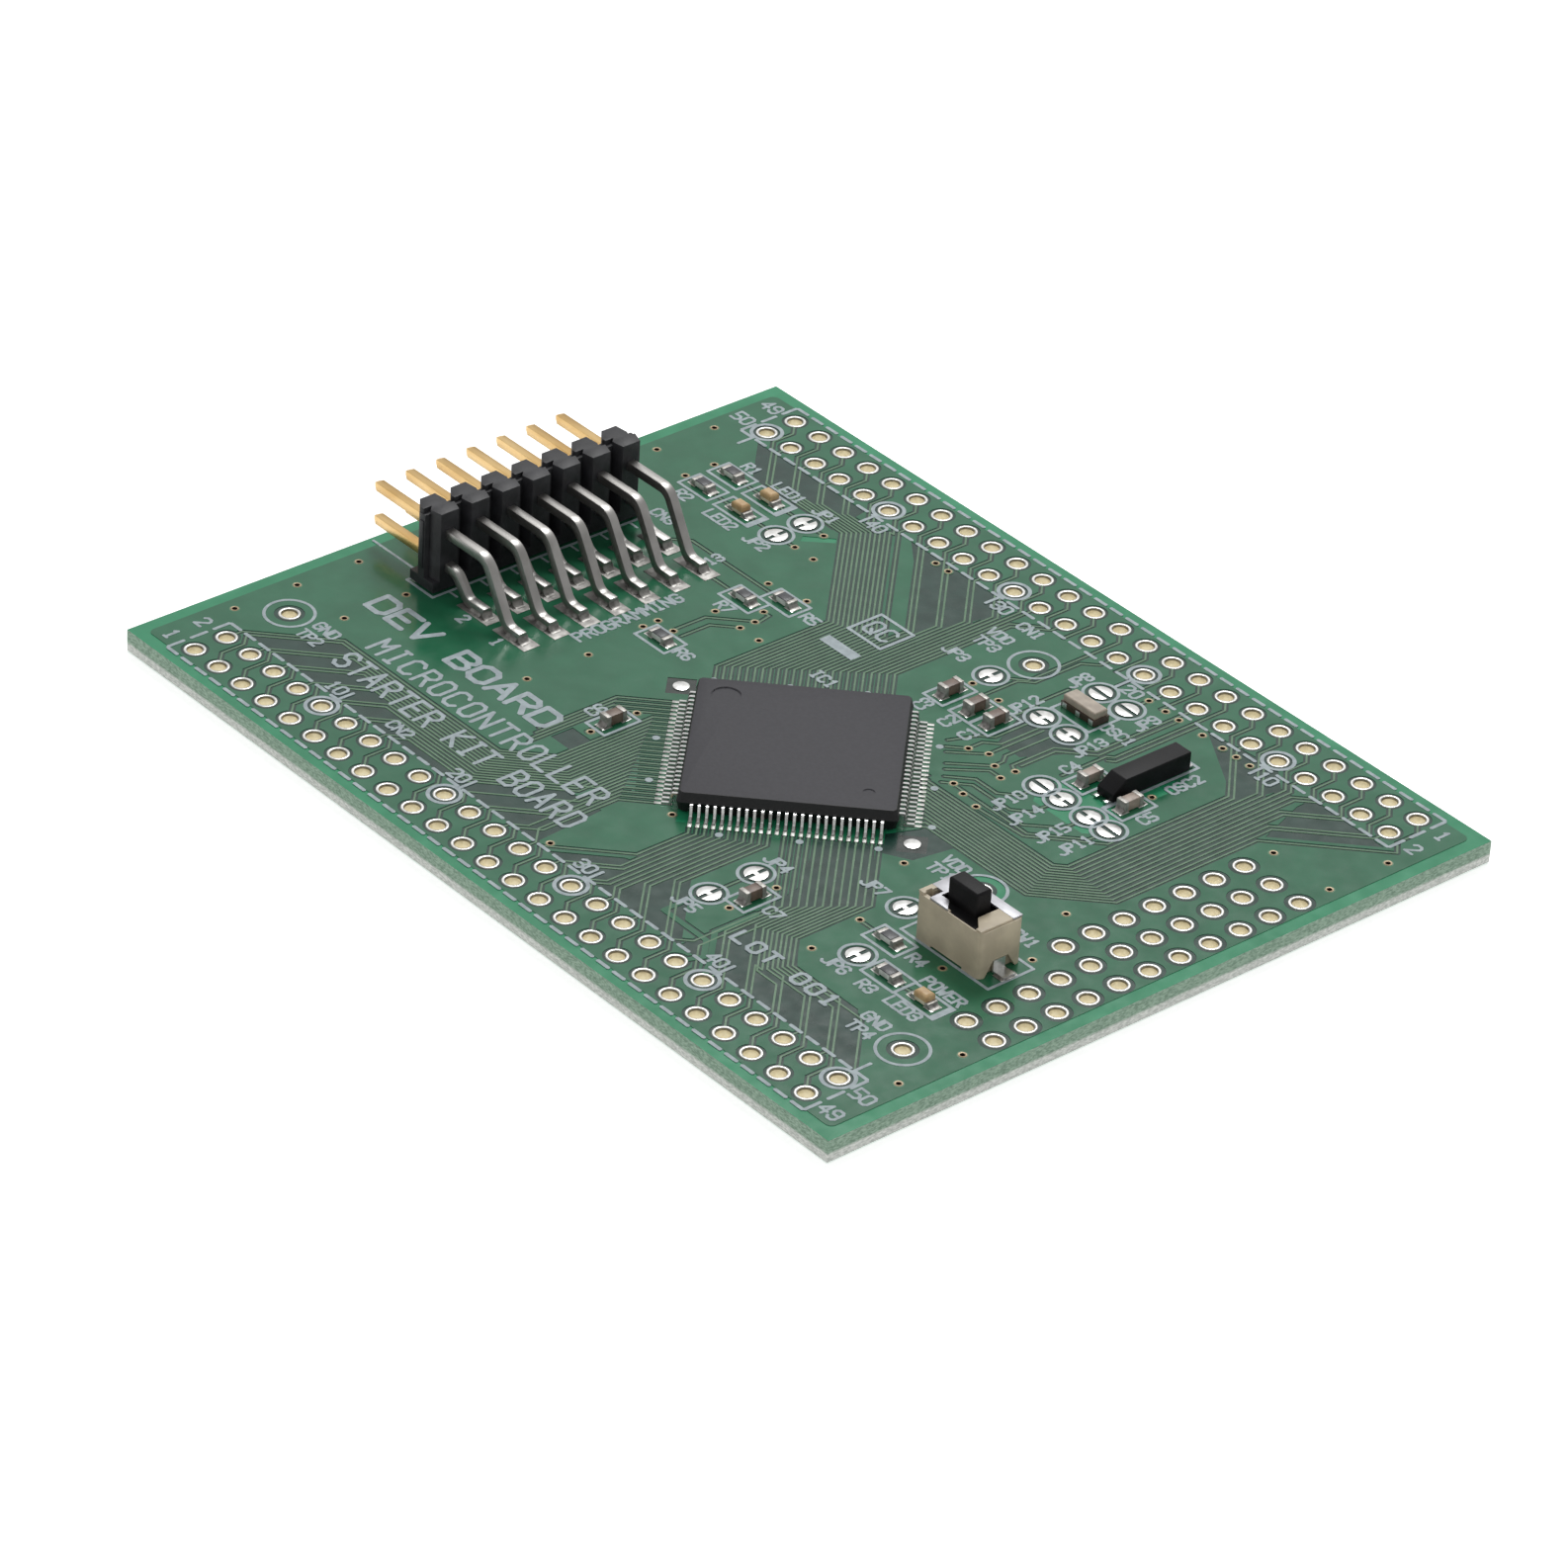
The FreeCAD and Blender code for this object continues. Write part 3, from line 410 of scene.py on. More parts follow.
def terraces(shapes, levels, base, cap=False, flip=False):
    """Verts, faces and paint indices of a sheet of cells, each at the height of its strongest label.

    levels is a list of (label, height, paint index), the strongest first; a height of None leaves a hole.
    Walls join cells of different heights, and drop to base at holes and at the rim.
    """
    points, cells, covers = arrangement(shapes)
    heights, paints = [], []
    for cover in covers:
        height, paint = next(((h, p) for label, h, p in levels if label in cover), (None, 0))
        heights.append(height)
        paints.append(paint)
    index, verts, faces, indices = {}, [], [], []

    def corner(point, height):
        key = (point, height)
        if key not in index:
            index[key] = len(verts)
            verts.append((points[point].x, points[point].y, height))
        return index[key]

    owner = {}
    for number, cell in enumerate(cells):
        for a, b in zip(cell, cell[1:] + cell[:1]):
            owner[(a, b)] = number
    for number, cell in enumerate(cells):
        height = heights[number]
        if height is None:
            continue
        faces.append([corner(p, height) for p in cell])
        indices.append(paints[number])
        if cap:
            faces.append([corner(p, base) for p in reversed(cell)])
            indices.append(paints[number])
        for a, b in zip(cell, cell[1:] + cell[:1]):
            other = owner.get((b, a))
            beyond = heights[other] if other is not None else None
            drop = base if beyond is None else beyond
            if (height - drop) * (-1 if flip else 1) > LEVEL:
                faces.append([corner(a, height), corner(a, drop), corner(b, drop), corner(b, height)])
                indices.append(levels[-1][2] if other is None else paints[number])
    return verts, faces, indices


def lathe(profile, x, y, count=32):
    """A closed ring turned about the vertical through x, y.

    profile is a list of (radius, height, paint index of the face that follows).
    """
    verts, faces, indices = [], [], []
    n = len(profile)
    for k in range(count):
        turn = 2 * math.pi * k / count
        verts.extend((x + r * math.cos(turn), y + r * math.sin(turn), z) for r, z, _ in profile)
        for j in range(n):
            a, b = k * n + j, k * n + (j + 1) % n
            c, d = (k + 1) % count * n + (j + 1) % n, (k + 1) % count * n + j
            faces.append([a, b, c, d])
            indices.append(profile[j][2])
    return verts, faces, indices


def sleeve(rings, around):
    """Faces between rings of points that lie one after another in a list, each with around points."""
    faces = []
    for k in range(0, (rings - 1) * around, around):
        for j in range(around):
            a, b = k + j, k + (j + 1) % around
            faces.append([a, b, b + around, a + around])
    return faces


class Heap:
    """Several small closed meshes gathered into one piece."""

    def __init__(self):
        self.verts, self.faces, self.indices = [], [], []

    def add(self, verts, faces, indices=None):
        first = len(self.verts)
        self.verts.extend(verts)
        self.faces.extend([first + v for v in face] for face in faces)
        self.indices.extend(indices or [0] * len(faces))
        return self

    def piece(self, name, paints, slot, **settings):
        return add_piece(name, self.verts, self.faces, paints, slot, self.indices, **settings)


# ---- copper routes

TRACE = 0.13  # width of a line
CLEAR = 0.15  # bare strip beside a line
FOOT = 21.6  # where the lines from a connector's pins begin to fan out
JOG = 1.2  # sideways shift of an outer pin's line, to pass between two inner pins
PAIR_SHIFT = 0.85  # further shift, towards the next inner pin's line
LAND_REACH = 8.45  # from the processor's middle to the outer end of a land
LEAD_PITCH = 0.5
DIAGONAL = math.sqrt(0.5)
chip = centre("processor_package")


def pin_x(column):
    return FIRST_PIN + PITCH * column


def tap(column, outer, side):
    """The route from a connector pin to its foot; side is 1 for the connector at +Y and -1 at -Y.

    An outer pin's line passes between two inner pins, then closes up to the next inner pin's line.
    """
    x = pin_x(column)
    if not outer:
        return [(x, side * INNER_ROW), (x, side * FOOT)]
    between, beside = x + side * JOG, x + side * (JOG + PAIR_SHIFT)
    route = [(x, side * OUTER_ROW), (between, side * (OUTER_ROW - JOG))]
    return route + [(between, side * (FOOT + PAIR_SHIFT)), (beside, side * FOOT)]


def lead_tip(normal, along, step):
    """The outer end of a processor land; step counts half millimetres from the middle of that side."""
    reach = Vector(normal) * DIAGONAL * LAND_REACH + Vector(along) * DIAGONAL * LEAD_PITCH * step
    return chip.x + reach.x, chip.y + reach.y


def fan_bend(foot, run_x, side):
    """Where a line from a connector foot, slanting at 45 degrees, meets the vertical at run_x."""
    return run_x, side * (FOOT - abs(foot[0] - run_x))


def east_bus():
    """From the processor's upper right side, level to the right, then up to connector 1."""
    routes = []
    for i in range(13):
        column, outer = 24 - i // 2, i % 2 == 0
        route = tap(column, outer, 1)
        run_x, level = 26.3 - 0.4 * i, -0.6 + 0.3 * i
        slope = 22.9 - 0.424 * i
        tip = lead_tip((1, 1), (1, -1), 12 - i)
        route += [fan_bend(route[-1], run_x, 1), (run_x, run_x - slope), (slope + level, level)]
        route += [(max(level + tip[0] - tip[1], tip[0]), level), tip]
        routes.append(route)
    return routes


def north_west_bus():
    """From the processor's upper left side, up, and slanting left to connector 1."""
    routes = []
    for i in range(24):
        run_x = -9.35 + 0.325 * i
        tip = lead_tip((-1, 1), (1, 1), i - 12)
        lead_sum = tip[0] + tip[1]
        route = tap((i + 1) // 2, i % 2 == 0, 1)
        if i < 11:
            level, slant = 18.4 + 0.27 * i, 1.0 + 0.45 * i
            route += [(route[-1][0] + FOOT - level, level), (slant - level, level), (run_x, slant - run_x)]
        else:
            route += [fan_bend(route[-1], run_x, 1)]
        route += [(run_x, lead_sum - run_x), tip]
        routes.append(route)
    return routes


def south_west_bus():
    """From the processor's lower left side, down, level to the left, and slanting to connector 2."""
    routes = []
    for j in range(21):
        run_x = -7.0 + 0.31 * j
        tip = lead_tip((-1, -1), (1, -1), j - 8)
        route = [tip, (run_x, run_x - (tip[0] - tip[1]))]
        slant, level = 7.3 + 0.424 * j, -16.9 - 0.3 * j
        if j < 14:
            foot = tap((j + 1) // 2, j % 2 == 1, -1)
            level_end = (foot[-1][0] + FOOT + level, level)
            route += [(run_x, run_x - slant), (slant + level, level), level_end] + foot[::-1]
        else:
            foot = tap((j + 5) // 2, (j + 5) % 2 == 1, -1)
            route += [fan_bend(foot[-1], run_x, -1)] + foot[::-1]
        routes.append(route)
    for j in range(4):
        run_x = -10.2 + 0.3 * j
        tip = lead_tip((-1, -1), (1, -1), j - 12)
        routes.append([tip, (run_x, run_x - (tip[0] - tip[1])), (run_x, -13.2 - 0.5 * j)])
    return routes


def south_bus():
    """From the processor's lower right side, down to the middle and the right end of connector 2."""
    routes = []
    for j in range(11):
        run_x = 4.75 + 0.4 * j
        tip = lead_tip((1, -1), (1, 1), j - 12)
        foot = tap(13 + j // 2, j % 2 == 0, -1)
        routes.append([tip, (run_x, tip[0] + tip[1] - run_x), fan_bend(foot[-1], run_x, -1)] + foot[::-1])
    for j in range(1, 14):
        run_x = 13.9 + 0.292 * j
        tip = lead_tip((1, -1), (1, 1), j - 1)
        foot = tap(18 + j // 2, j % 2 == 1, -1)
        route = [tip, (run_x, tip[0] + tip[1] - run_x)]
        if j > 5:
            slant, level = 2.4 - 0.424 * (13 - j), -17.4 - 0.3 * (13 - j)
            route += [(run_x, slant - run_x), (slant - level, level), (foot[-1][0] - FOOT - level, level)]
        else:
            route += [fan_bend(foot[-1], run_x, -1)]
        routes.append(route + foot[::-1])
    return routes


R1_LED1_GAPS = ((-28.1, -29.25), (-26.5, -24.3), (-22.5, -20.6))


def short_routes():
    """The lines among the jumpers, the resonator, the crystal, the small chips and the header."""
    routes = [tap(column, True, 1)[:2] + [(pin_x(column) + JOG, FOOT)] for column in range(12, 18)]
    routes += [tap(column, False, -1) for column in (11, 12, 23)]
    routes += [
        [(11.36, 21.6), (11.36, 20.9)],
        [(5.08, 22.86), (5.08, 21.3), (4.2, 20.4), (4.2, 16.4), (3.4, 15.6), (3.4, 12.6)],
        [(3.74, 21.6), (3.74, 16.2), (2.9, 15.4)],
        [(12.7, 22.86), (12.7, 14.1), (10.75, 12.15), (10.75, 8.6), (11.4, 8.2)],
        [(13.1, 20.9), (13.1, 13.9), (11.15, 11.95), (11.15, 9.0)],
        [(13.9, 21.6), (13.9, 14.6), (13.5, 14.2), (13.5, 10.4)],
        [(14.3, 21.6), (14.3, 14.3), (13.9, 13.9)], [(7.62, 22.86), (7.62, 20.1)],
        [(10.16, 22.86), (10.16, 20.1)],
        [(8.45, 13.2), (8.45, 9.7), (7.6, 8.85), (7.6, 7.6), (6.6, 6.6)],
        [(8.85, 13.0), (8.85, 8.2), (7.1, 6.2)], [(9.65, 13.2), (9.65, 9.0), (10.1, 8.4), (10.1, 7.55)],
        [(10.1, 7.55), (9.6, 7.0), (8.1, 5.3)], [(11.4, 7.0), (10.4, 7.0), (8.6, 4.8)],
        [(7.62, 12.9), (7.62, 9.9), (6.9, 9.2), (6.1, 7.2)], [(6.4, 14.6), (6.4, 13.0), (6.33, 12.2)],
        [(6.1, 17.6), (6.1, 15.0)], [(13.65, 7.6), (13.65, 6.6), (12.6, 5.6), (10.6, 5.6), (9.2, 4.2)],
        [(15.56, 7.4), (15.56, 6.0), (14.5, 5.0), (11.0, 5.0), (9.6, 3.6)],
        [(18.1, 7.4), (18.1, 6.4), (16.3, 4.5), (13.8, 4.5)],
        [(20.0, 7.4), (20.0, 6.8), (17.2, 4.05), (10.1, 4.05)],
        [(21.1, 8.4), (21.1, 7.4), (17.3, 3.7), (12.95, 3.45)],
        [(-14.3, 9.55), (-22.4, 9.55), (-23.3, 8.6)], [(-16.2, 7.62), (-19.1, 7.62)],
        [(-13.0, 7.6), (-12.1, 7.6), (-11.9, 6.6)], [(-17.9, 17.15), (-18.6, 17.15)],
        [(-17.9, 14.6), (-18.6, 14.6)], [(-12.1, 6.4), (-14.4, 4.1), (-14.4, 1.4)],
        [(-12.1, 5.1), (-13.5, 3.7), (-13.5, 1.3)],
        *([(a, y), (b, y)] for a, b in R1_LED1_GAPS for y in (17.15, 14.6)),
        [(22.05, -13.4), (23.2, -13.4)], [(24.9, -13.4), (26.5, -13.4)],
        [(20.35, -10.85), (18.3, -10.85)], [(12.7, -15.5), (12.7, -16.6)],
        [(10.75, -13.7), (10.75, -15.5)],
    ]
    return routes


WIDE_ROUTES = [
    [(14.2, -15.6), (14.2, -18.9), (16.6, -21.3), (17.78, -22.86)],
    [(10.5, -17.6), (10.5, -19.9), (14.6, -19.9), (15.9, -21.2), (15.24, -22.86)],
    [(-8.0, -7.9), (-8.0, -6.95)], [(-8.0, -9.8), (-8.0, -10.85)],
]
WIDE = 0.4

OPEN_AREAS = [
    [(-29.8, 21.5), (-26.3, 18.1), (-18.0, 18.1), (-18.6, 21.5)],
    [(-13.9, 21.5), (-3.6, 21.5), (-3.6, 19.4), (-4.3, 15.2), (-5.2, 13.9), (-9.4, 18.1)],
    [(15.0, 21.6), (22.2, 17.2), (23.0, 20.6), (21.0, 22.2)],
    [(24.9, 21.6), (24.9, 20.2), (26.3, 16.1), (31.6, 21.4)],
    [(9.9, -7.2), (12.6, -4.6), (17.9, -9.2), (17.9, -12.0), (14.0, -14.4), (13.4, -11.2)],
    [(14.2, -16.4), (17.8, -15.2), (20.0, -17.2), (25.7, -17.2), (30.4, -21.6), (14.0, -21.6)],
    [(-30.6, -21.5), (-25.9, -16.7), (-9.0, -16.7), (-0.4, -16.0), (0.0, -21.6)],
    [(4.6, -18.2), (8.9, -16.4), (14.2, -21.6), (1.2, -21.6)],
    [(-9.0, -11.4), (-7.1, -11.4), (-7.1, -13.2), (-9.0, -13.2)],
    [(13.0, -0.8), (15.8, -0.8), (15.3, -3.8), (13.6, -4.8), (12.0, -3.2)],
    [(6.4, 13.4), (12.4, 13.4), (10.3, 9.6), (8.2, 9.6)],
]
BARE_AREAS = [
    disc(20.32, -2.54, 1.62),
    [(3.27, -13.03), (13.03, -3.27), (11.97, -2.21), (2.21, -11.97)],
    [(14.6, 6.9), (19.2, 6.9), (21.0, 8.9), (18.6, 10.4), (14.9, 10.4), (12.9, 9.0)],
    [(18.0, 12.6), (19.0, 13.0), (19.0, 15.6), (18.1, 15.9)],
    [(-4.6, -9.4), (-0.9, -12.9), (-2.6, -13.5), (-5.6, -11.0)],
    [(-18.2, 15.4), (-16.6, 17.2), (-17.0, 17.6), (-18.6, 16.0)],
    [(14.9, 11.0), (16.6, 11.0), (15.2, 12.8)],
]
PROTOTYPE_CLEAR = 1.02
CONNECTOR_CLEAR = 0.93
EYELET_VOID = 0.57
VIA_VOID = 0.2
VIA_RING = 0.36
RIM = 0.95  # bare strip round the board
RIM_CORNER = 0.5
FIDUCIAL_WINDOW = 1.35
JUMPER_WINDOW = 1.0


def face_shapes():
    """One face of the board: bare rim, copper fill, holes and copper-free rings round the pads."""
    shapes = [
        ("rim", rectangle(-HALF_X, -HALF_Y, HALF_X, HALF_Y)),
        ("pour", rounded(HALF_X - RIM, HALF_Y - RIM, RIM_CORNER)),
    ]
    for node in EYELETS:
        clear = CONNECTOR_CLEAR if node.startswith("connector") else PROTOTYPE_CLEAR
        for place in middles(node):
            shapes.append(("void", disc(place.x, place.y, EYELET_VOID)))
            shapes.append(("gap", disc(place.x, place.y, clear)))
    for place in middles("via_barrels"):
        shapes.append(("void", disc(place.x, place.y, VIA_VOID, 12)))
        shapes.append(("trace", disc(place.x, place.y, VIA_RING, 16)))
    return shapes


def copper_line(route, width, kind="trace"):
    """A line along a route, and the bare strips beside it."""
    shapes = [(kind, outline) for outline in stroke(route, width)]
    return shapes + [("gap", outline) for outline in stroke(route, width + 2 * CLEAR)]


def top_shapes():
    shapes = face_shapes()
    shapes += [("gap", area) for area in OPEN_AREAS] + [("bare", area) for area in BARE_AREAS]
    for place in middles("fiducial_lands"):
        shapes.append(("dark", disc(place.x, place.y, FIDUCIAL_WINDOW, 4)))
    for place in jumper_places():
        shapes.append(("gap", disc(place.x, place.y, JUMPER_WINDOW)))
    for route in east_bus() + north_west_bus() + south_west_bus() + south_bus() + short_routes():
        shapes += copper_line(route, TRACE)
    for route in WIDE_ROUTES:
        shapes += copper_line(route, WIDE, "lane")
    return shapes


def jumper_places():
    """The middle of each solder jumper, whose two halves are one solid where they are bridged."""
    places = []
    for place in middles("jumper_lands"):
        near = [p for p in places if (p - place).length < 1.5]
        if near:
            near[0].xyz = (near[0] + place) / 2
        else:
            places.append(place)
    return places


UNDER_TRACE = 1.3 * TRACE
UNDER_GAP = 0.012


def make_board():
    """The laminate with its copper relief on both faces, and the holes through it."""
    levels = [
        ("void", None, 0), ("trace", COPPER, 1), ("lane", COPPER, 0), ("dark", GAP, 5), ("gap", GAP, 2),
        ("bare", GAP, 3), ("pour", COPPER, 0), ("rim", GAP, 3), ("edge", GAP, 4),
    ]
    middle = TOP / 2
    top = terraces(top_shapes(), levels, middle)
    under = [
        ("void", None, 0), ("trace", 0.0, 1), ("gap", UNDER_GAP, 2), ("pour", 0.0, 0),
        ("rim", UNDER_GAP, 3), ("edge", 0, 4),
    ]
    shapes = face_shapes()
    for column in range(COLUMNS - 3):
        for side in (1, -1):
            x = pin_x(column if side == 1 else column + 3)
            bend = 6.5 + 0.32 * column
            path = [(x, side * INNER_ROW), (x, side * (bend + 1.5)), (x + side * 3.4, side * (bend - 1.9))]
            shapes += copper_line(path, UNDER_TRACE)
    bottom = terraces(shapes, under, middle, flip=True)
    Heap().add(*top).add(*bottom).piece(
        "board_relief", ["pour", "trace", "gap", "bare", "edge", "dark"], "laminate",
        stands_for=["board_laminate"], angle=20.0,
    )


# ---- legend

GLYPHS = {
    "A": "002640 1232", "B": "00063645443303 3342413000", "C": "4536160501103041",
    "D": "00063645413000", "E": "46060040 0333", "G": "45361605011030414323", "I": "1030 1636 2026",
    "J": "0110304146", "K": "0006 460340", "L": "060040", "M": "0006234640", "N": "00064046",
    "O": "100105163645413010", "P": "00063645443303", "Q": "100105163645413010 2240",
    "R": "00063645443303 2340",
    "S": "453616050413334241301001", "T": "0646 2620", "V": "062046", "W": "0610233046",
    "0": "100105163645413010", "1": "152620 1030", "2": "05163645440040", "3": "0516364544334241301001 1333",
    "4": "30360242", "5": "4606033342413000", "6": "4536160501103041423303", "7": "064610",
    "8": "13040516364544331302011030414233", "9": "0110304145361605041343", " ": "",
}
# Each letter is one or more chains of points on a grid 4 wide and 6 high.
ink = []


def line(points, width=0.22):
    ink.extend(("ink", outline) for outline in stroke(points, width))


def ring(x, y, radius, width=0.22):
    ink.extend(("ink", outline) for outline in half_rings(x, y, radius, width))


def box_outline(x, y, half_x, half_y, width=0.22):
    corners = rectangle(x - half_x, y - half_y, x + half_x, y + half_y)
    line(corners + corners[:1], width)


def dashes(a, b, dash=1.2, gap=0.32):
    width = 0.26
    a, b = Vector(a), Vector(b)
    length = (b - a).length
    count = max(1, round((length + gap) / (dash + gap)))
    step = (length + gap) / count
    along = (b - a).normalized()
    for k in range(count):
        line([a + along * (k * step + width / 2), a + along * ((k + 1) * step - gap - width / 2)], width)


def label(text, x, y, height=0.88, turn=0, wide=0.6, gap=0.22, thick=0.21, shapes=None, mirror=1):
    """Text in plain strokes, centred on x, y; turn is in degrees, wide and gap are shares of the height."""
    step = height * (wide + gap)
    start = -(len(text) * step - height * gap) / 2
    c, s = math.cos(math.radians(turn)), math.sin(math.radians(turn))
    for n, letter in enumerate(text):
        for chain in GLYPHS[letter].split():
            points = []
            for u, v in zip(chain[::2], chain[1::2]):
                px = (start + n * step + int(u) / 4 * height * wide) * mirror
                py = (int(v) / 6 - 0.5) * height
                points.append((x + px * c - py * s, y + px * s + py * c))
            (ink if shapes is None else shapes).extend(("ink", outline) for outline in stroke(points, thick))


def connector_legend(side):
    """The dashed outline of one connector, its pin numbers and the rings on every tenth pin."""
    inner, outer, end = side * 21.6, side * 26.68, 31.75
    for y in (inner, outer):
        dashes((-end, y), (end, y))
    for x in (-end, end):
        dashes((x, inner), (x, outer), 1.35, 0.4)
    for mark in range(5):
        column = 5 * mark if side == 1 else 5 * mark + 4
        x = pin_x(column)
        ring(x, side * INNER_ROW, 1.05, 0.26)
        line([(x, side * (INNER_ROW - 1.1)), (x, side * 20.35)], 0.24)
        number = 50 - 10 * mark if side == 1 else 10 + 10 * mark
        if number != 50:
            label(str(number), x + side * 1.12, side * 20.78, 0.98)
    near, far = ("2", "1"), ("50", "49")
    right, left = (near, far) if side == 1 else (far, near)
    for texts, x in ((right, 32.85), (left, -32.85)):
        for text, y in zip(texts, (INNER_ROW, OUTER_ROW)):
            label(text, x, side * y - 0.1, 1.05)


def part_legend():
    """Outlines and designators of the parts, and the generic titles."""
    for number in range(1, 8):
        place = centre(f"resistor_{number}")
        box_outline(place.x, place.y, 1.5, 0.95)
        place = centre(f"capacitor_{number}")
        box_outline(place.x, place.y, 0.93, 1.48)
    for number in range(1, 4):
        place = centre(f"led_base_{number}")
        box_outline(place.x, place.y, 1.78, 0.88)
        line([(place.x + 1.55, place.y - 0.75), (place.x + 1.55, place.y + 0.75)], 0.3)
    for place in jumper_places():
        ring(place.x, place.y, 1.17)
    for place in middles("test_point_eyelets"):
        ring(place.x, place.y, 1.67)
    switch = centre("switch_housing")
    box_outline(switch.x, switch.y, 4.03, 1.86)
    resonator = centre("resonator_base")
    box_outline(resonator.x, resonator.y, 1.8, 1.3)
    crystal = centre("crystal_body")
    line([(crystal.x + 0.85, 9.9), (crystal.x + 0.85, 18.1), (crystal.x - 0.3, 18.1)])
    tags = [
        ("R1", -27.3, 18.85), ("R2", -27.3, 12.85), ("LED1", -23.4, 18.85), ("LED2", -23.4, 12.85),
        ("JP1", -19.7, 18.95), ("JP2", -19.7, 12.85), ("R5", -10.2, 9.5), ("R7", -14.65, 5.95),
        ("R6", -11.65, 0.0), ("R4", 23.85, -10.85), ("R3", 24.15, -15.2), ("LED3", 27.25, -14.95),
        ("POWER", 27.35, -11.75), ("JP3", -1.5, 14.6), ("VDD", -1.4, 18.35), ("TP3", -1.2, 17.0),
        ("CN1", -0.7, 20.4), ("CN2", -15.2, -20.5), ("JP4", 10.75, -10.9), ("JP5", 10.75, -18.35),
        ("JP6", 21.3, -15.2), ("JP7", 16.2, -7.65), ("C7", 14.75, -14.65), ("OSC1", 12.0, 16.55),
        ("IC1", -4.1, 5.5), ("VDD", 17.3, -1.9), ("TP1", 17.3, -3.2), ("GND", 27.3, -17.15),
        ("TP4", 27.4, -18.5), ("GND", -27.35, -17.1), ("TP2", -27.35, -18.5), ("SW1", 25.9, -3.9),
        ("CN3", -25.9, 10.0), ("1", -19.9, -8.95), ("2", -23.4, -8.95),
    ]
    for text, x, y in tags:
        label(text, x, y)
    upright = [
        ("JP8", 5.7, 18.9), ("JP9", 12.1, 18.9), ("JP10", 13.65, 5.55), ("JP11", 20.0, 5.55),
        ("JP12", 5.8, 13.95), ("JP13", 12.1, 13.95), ("JP14", 15.56, 5.3), ("JP15", 18.1, 5.3),
        ("C1", 6.33, 8.75), ("C2", 4.4, 8.75), ("C3", 1.9, 8.75), ("C4", 13.15, 11.4), ("C5", 20.4, 11.4),
        ("C6", -9.75, -8.9), ("OSC2", 18.9, 16.0), ("13", -19.7, 9.2),
    ]
    for text, x, y in upright:
        label(text, x, y, turn=90)
    label("PROGRAMMING", -17.3, -0.1, 1.0, turn=90)
    label("DEV BOARD", -19.3, -12.15, 1.85, wide=0.86, gap=0.27, thick=0.42)
    label("MICROCONTROLLER", -12.8, -15.35, 1.85, wide=0.55, gap=0.29, thick=0.28)
    label("STARTER KIT BOARD", -12.2, -18.2, 1.85, wide=0.52, gap=0.26, thick=0.28)
    label("LOT 001", 19.8, -17.95, 1.15, wide=0.75, gap=0.45, thick=0.27)
    label("QC", -6.35, 12.3, 1.5, gap=0.25, thick=0.24)
    box_outline(-6.35, 12.3, 1.6, 1.45, 0.24)
    ink.append(("ink", rectangle(-8.0, 8.4, -4.8, 9.3)))
    for x, y in (
        (-8.15, -0.4), (-4.65, 3.1), (-1.1, 6.65), (6.4, 6.25), (9.9, 2.75), (13.2, -0.35),
        (-4.95, -7.85), (-1.4, -11.35), (13.1, -4.7), (9.6, -8.2), (6.05, -11.8),
    ):
        ink.append(("ink", disc(x, y, 0.26, 14)))


def header_legend():
    """The outline of the header, with a tick at every pin."""
    low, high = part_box("header_housing")
    left, right, front, back = low.x / MM, high.x / MM, low.y / MM, high.y / MM
    for x in (left - 0.2, right + 0.1):
        line([(x, front), (x, back)])
    for place in middles("header_lower_pins"):
        line([(right + 0.1, place.y), (right + 0.95, place.y)], 0.18)
    line([(-HALF_X + 0.4, front + 1.24), (left, front + 1.24)], 0.2)
    line([(left - 0.2, front), (right + 0.1, front)])


UNDER_TAG = (1.1, 0.58, 0.2, 0.2)  # height, wide, gap and thick


def make_legend():
    connector_legend(1)
    connector_legend(-1)
    part_legend()
    header_legend()
    verts, faces, indices = terraces(ink, [("ink", INK, 0)], COPPER - 0.02, cap=True)
    add_piece("legend_top", verts, faces, ["ink"], "laminate", indices)
    under = []
    for text, x, y, height, wide, gap, thick in (
        ("DEV BOARD", 0, 13.0, 2.4, 0.7, 0.25, 0.34), ("BOTTOM SIDE", 0, -13.0, 1.6, 0.58, 0.2, 0.25),
        ("CN1", 0, 20.6, *UNDER_TAG), ("CN2", 0, -20.6, *UNDER_TAG), ("2", 33.0, 22.8, *UNDER_TAG),
        ("1", 33.0, 25.3, *UNDER_TAG), ("50", -33.0, 22.8, *UNDER_TAG),
    ):
        label(text, x, y, height, 0, wide, gap, thick, under, -1)
    verts, faces, indices = terraces(under, [("ink", 0.006, 0)], -0.012, cap=True)
    add_piece("legend_under", verts, faces, ["ink"], "laminate", indices)


# ---- eyelets, vias and lands


def eyelet(x, y):
    """A plated hole: a tin ring with a rounded lip on each face and a gold wall between them. The wall
    carries painted light, near white deeper down and faintly glowing, and a ring of painted shade lines the
    mouth.
    """
    hole, mouth, barrel, pad = 0.5, 0.55, 0.565, 0.75
    lip = [(barrel, TOP - 0.12, 0), (pad, TOP - 0.03, 0), (pad, TOP + 0.012, 0), (pad - 0.03, TOP + 0.034, 0)]
    # Paint 2 is the painted-shade ring at the mouth; paint 1 is the gold wall with its painted light.
    lip += [(pad - 0.07, TOP + 0.043, 0), (mouth + 0.02, TOP + 0.036, 0), (mouth, TOP + 0.01, 2)]
    lip += [(mouth - 0.03, TOP - 0.04, 2), (hole, TOP - 0.12, 1)]
    under = [(r, TOP - z, paint) for r, z, paint in reversed(lip)]
    under[0] = (under[0][0], under[0][1], 0)
    return lathe(lip + under, x, y)


